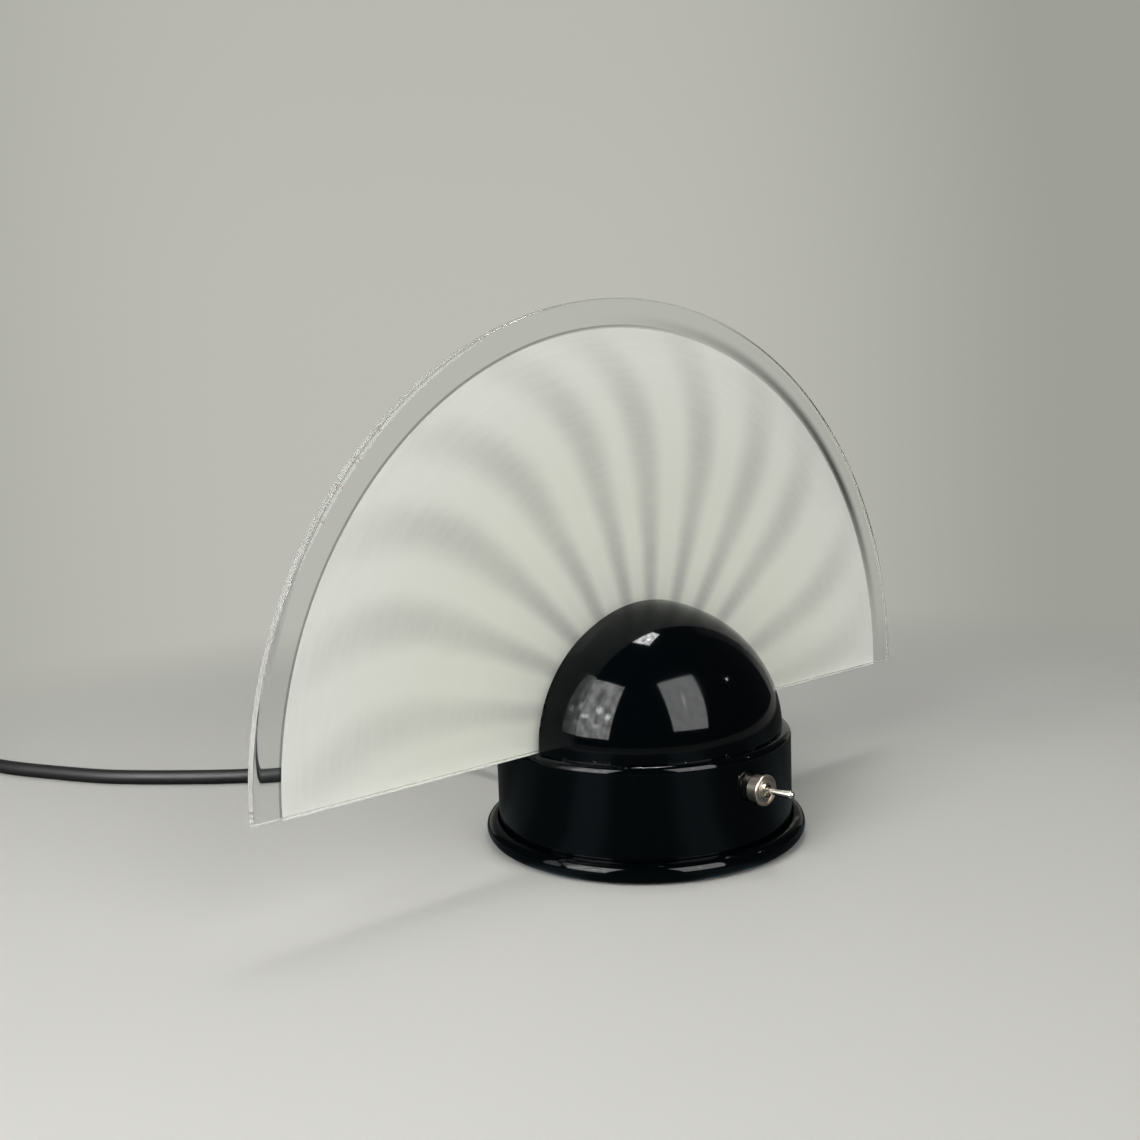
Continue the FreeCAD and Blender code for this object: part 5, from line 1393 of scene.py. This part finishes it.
@dataclass
class Studio:
    """Floor with its sweep, lamps, dim room and camera."""

    floor_radius: float = 1.7
    rear_side: float = 50.0
    rear_half: float = 45.0
    cove: float = 0.7
    wall: float = 2.4
    aim: Point = (0.0, 0.0, 0.07)
    room: Colour = (0.035, 0.036, 0.038)
    seen: Colour = (0.42, 0.42, 0.4)
    boxes: tuple[SoftBox, ...] = (
        SoftBox("window_left", -83.9, 28.6, 1.1, (0.573, 0.981), 5.0, 1.0),
        SoftBox("window_right", -2.5, 32.6, 1.7, (0.918, 1.394), 2.56, -5.0),
        SoftBox("overhead", 121.2, 77.7, 1.3, (0.238, 0.339), 11.0, -5.0, 1.2),
        SoftBox("ceiling", 160.0, 62.0, 1.7, (1.5, 1.5), 0.68, glossy=False),
        SoftBox("fill_left", -60.0, 25.0, 0.8, (0.4, 0.6), 2.5, glossy=False),
    )
    glints: tuple[SoftBox, ...] = (
        SoftBox("window_left_narrow", -111.6, 25.8, 1.1, (0.255, 0.965), 2.6, 7.0),
        SoftBox("glint_left", -83.9, 28.6, 1.09, (0.573, 0.981), 6.2, 1.0, 1.8),
        SoftBox("glint_right", -2.5, 32.6, 1.69, (0.918, 1.394), 6.6, -5.0, 0.3),
        SoftBox("glint_streak", -3.0, 36.0, 1.68, (0.09, 0.72), 9.0, -9.0, 1.0, "ELLIPSE"),
        SoftBox("leaf_glint_1", -81.3, 28.0, 1.08, (0.16, 0.18), 24.0, 20.0, 1.0, "ELLIPSE"),
        SoftBox("leaf_glint_2", -72.5, 23.6, 1.08, (0.13, 0.16), 28.0, -20.0, 1.0, "ELLIPSE"),
        SoftBox("leaf_glint_3", -92.5, 21.0, 1.08, (0.21, 0.11), 22.0, 10.0, 1.0, "ELLIPSE"),
        SoftBox("leaf_glint_4", -81.5, 14.5, 1.08, (0.18, 0.12), 10.0, 0.0, 1.0, "ELLIPSE"),
        SoftBox("glint_overhead", 121.2, 77.7, 1.295, (0.238, 0.339), 16.0, -5.0, 1.2),
        SoftBox("spark_1", 122.9, 71.1, 1.29, (0.035, 0.035), 90.0, shape="ELLIPSE"),
        SoftBox("spark_2", 141.4, 78.1, 1.29, (0.04, 0.04), 90.0, shape="ELLIPSE"),
        SoftBox("spark_3", 108.5, 79.0, 1.29, (0.03, 0.03), 60.0, shape="ELLIPSE"),
        SoftBox("spark_4", 51.1, 31.6, 1.29, (0.025, 0.025), 70.0, shape="ELLIPSE"),
    )
    camera_place: Point = (-0.318326, -0.334172, 0.164780)
    yaw: float = 0.7016428
    pitch: float = -0.1224570
    roll: float = -0.0349854
    focus: float = 1149.5885
    frame_width: float = 1140.0
    sensor: float = 36.0

    @staticmethod
    def towards(azimuth: float, elevation: float) -> np.ndarray:
        """Unit vector towards a compass point: azimuth 0 is in front, 90 on the right."""
        a, e = math.radians(azimuth), math.radians(elevation)
        return np.array((math.sin(a) * math.cos(e), -math.cos(a) * math.cos(e), math.sin(e)))

    @staticmethod
    def aimed(name: str, data: Any, axes: Sequence[np.ndarray], roll: float,
              place: Sequence[float]) -> bpy.types.Object:
        """New lamp or camera with its axes turned by the roll.

        Args:
            name: Name of the object.
            data: Its light or camera.
            axes: Directions of its right, its up and its back.
            roll: Turn of right towards up, in radians.
            place: Where it stands.

        Returns:
            The object.
        """
        right, up, back = axes
        matrix = np.eye(4)
        matrix[:3, :3] = np.column_stack((math.cos(roll) * right + math.sin(roll) * up,
                                          math.cos(roll) * up - math.sin(roll) * right, back))
        matrix[:3, 3] = place
        piece = linked(name, data)
        piece.matrix_world = Matrix(matrix.tolist())
        return piece

    def sweep(self) -> None:
        """Round floor, and the cove and wall that it runs into, in a half behind and a half in front."""
        rings = np.linspace(0, 1, 40) ** 1.5 * self.floor_radius
        floor = Skin().add(turned(np.column_stack((rings, 0 * rings)) / MM, 128)).object("studio_floor")
        cove = arc((self.floor_radius, self.cove), self.cove, -90, 0, 24)
        wall = joined(cove, [(self.floor_radius + self.cove, self.wall)]) / MM
        rear = (self.rear_side - self.rear_half, self.rear_side + self.rear_half)
        front = (rear[1], rear[0] + 360.0)
        halves = [Skin().add(turned(wall, 64, sweep=half)).object(name)
                  for name, half in (("studio_rear_wall", rear), ("studio_front_wall", front))]
        for piece in (floor, *halves):
            dressed(piece, Look.FLOOR)
        for piece in halves:
            piece.visible_diffuse = False
            piece.visible_shadow = False
        halves[1].visible_glossy = False

    def lamp(self, box: SoftBox, lights: bool) -> None:
        """Area lamp of known radiance: its power is pi times radiance times area.

        Args:
            box: The lamp.
            lights: Whether it lights the scene, or is only seen in gloss.
        """
        data = bpy.data.lights.new(box.name, "AREA")
        data.shape = box.shape
        data.size, data.size_y = box.size
        data.energy = math.pi * box.radiance * box.size[0] * box.size[1]
        if box.mottle:
            data.use_nodes = True
            net = Net(data.node_tree)
            place = net.add("ShaderNodeNewGeometry")["Parametric"]
            patch = ((net.noise(5.0, 3.0, place) - 0.5) * (3 * box.mottle) + 1).above(0.15)
            if box.shape == "ELLIPSE":
                across, up, _ = net.split(place)
                across, up = across - 0.5, up - 0.5
                patch = patch * (across * across + up * up).root().step(0.5, 0.0)
            glow = net.add("ShaderNodeEmission", inputs={"Strength": patch})
            net.add("ShaderNodeOutputLight", inputs={"Surface": glow})
        away = self.towards(box.azimuth, box.elevation)
        right = np.cross((0, 0, 1), away)
        right /= np.linalg.norm(right)
        place = np.asarray(self.aim) + away * box.distance
        lamp = self.aimed(box.name, data, (right, np.cross(away, right), away), math.radians(box.roll), place)
        lamp.visible_camera = False
        lamp.visible_transmission = False
        lamp.visible_glossy = box.glossy
        lamp.visible_diffuse = lights

    def world(self) -> None:
        """Dim room for the lamp's gloss, pale where the camera looks past the sweep."""
        world = bpy.data.worlds.new("room")
        bpy.context.scene.world = world
        world.use_nodes = True
        net = Net(world.node_tree)
        path = net.add("ShaderNodeLightPath")
        seen = path["Is Camera Ray"].above(path["Is Transmission Ray"])
        colour = seen.mix(self.room, self.seen)
        light = net.add("ShaderNodeBackground", inputs={"Color": colour, "Strength": 1.0})
        net.add("ShaderNodeOutputWorld", inputs={"Surface": light})

    def camera(self) -> None:
        """Camera at the photograph's place: forward from yaw and pitch, then rolled."""
        cy, sy, cp, sp = math.cos(self.yaw), math.sin(self.yaw), math.cos(self.pitch), math.sin(self.pitch)
        forward = np.array((sy * cp, cy * cp, sp))
        level = np.array((cy, -sy, 0.0))
        axes = (level, np.cross(level, forward), -forward)
        data = bpy.data.cameras.new("camera")
        data.sensor_width = self.sensor
        data.lens = self.focus / self.frame_width * self.sensor
        data.clip_start, data.clip_end = 0.01, 20.0
        bpy.context.scene.camera = self.aimed("camera", data, axes, self.roll, self.camera_place)

    def build(self) -> None:
        """Makes the studio."""
        self.camera()
        self.sweep()
        for box in self.boxes:
            self.lamp(box, True)
        for box in self.glints:
            self.lamp(box, False)
        self.world()
        bpy.context.scene.view_settings.view_transform = "Standard"
        log.info("studio: floor, wall, %d lamps, %d glints, camera", len(self.boxes), len(self.glints))


def main() -> None:
    """Builds the scene in order and reports each piece."""
    logging.basicConfig(level=logging.INFO, format="%(name)s: %(message)s")
    Studio().build()
    plug = Plug()
    plug.build()
    MainsCord().build(plug)
    Relief().build()
    Drum().build()
    Domes().build()
    GlassFan().build()
    ToggleSwitch().build()
    InnerWorks().build()


if __name__ == "__main__":
    main()
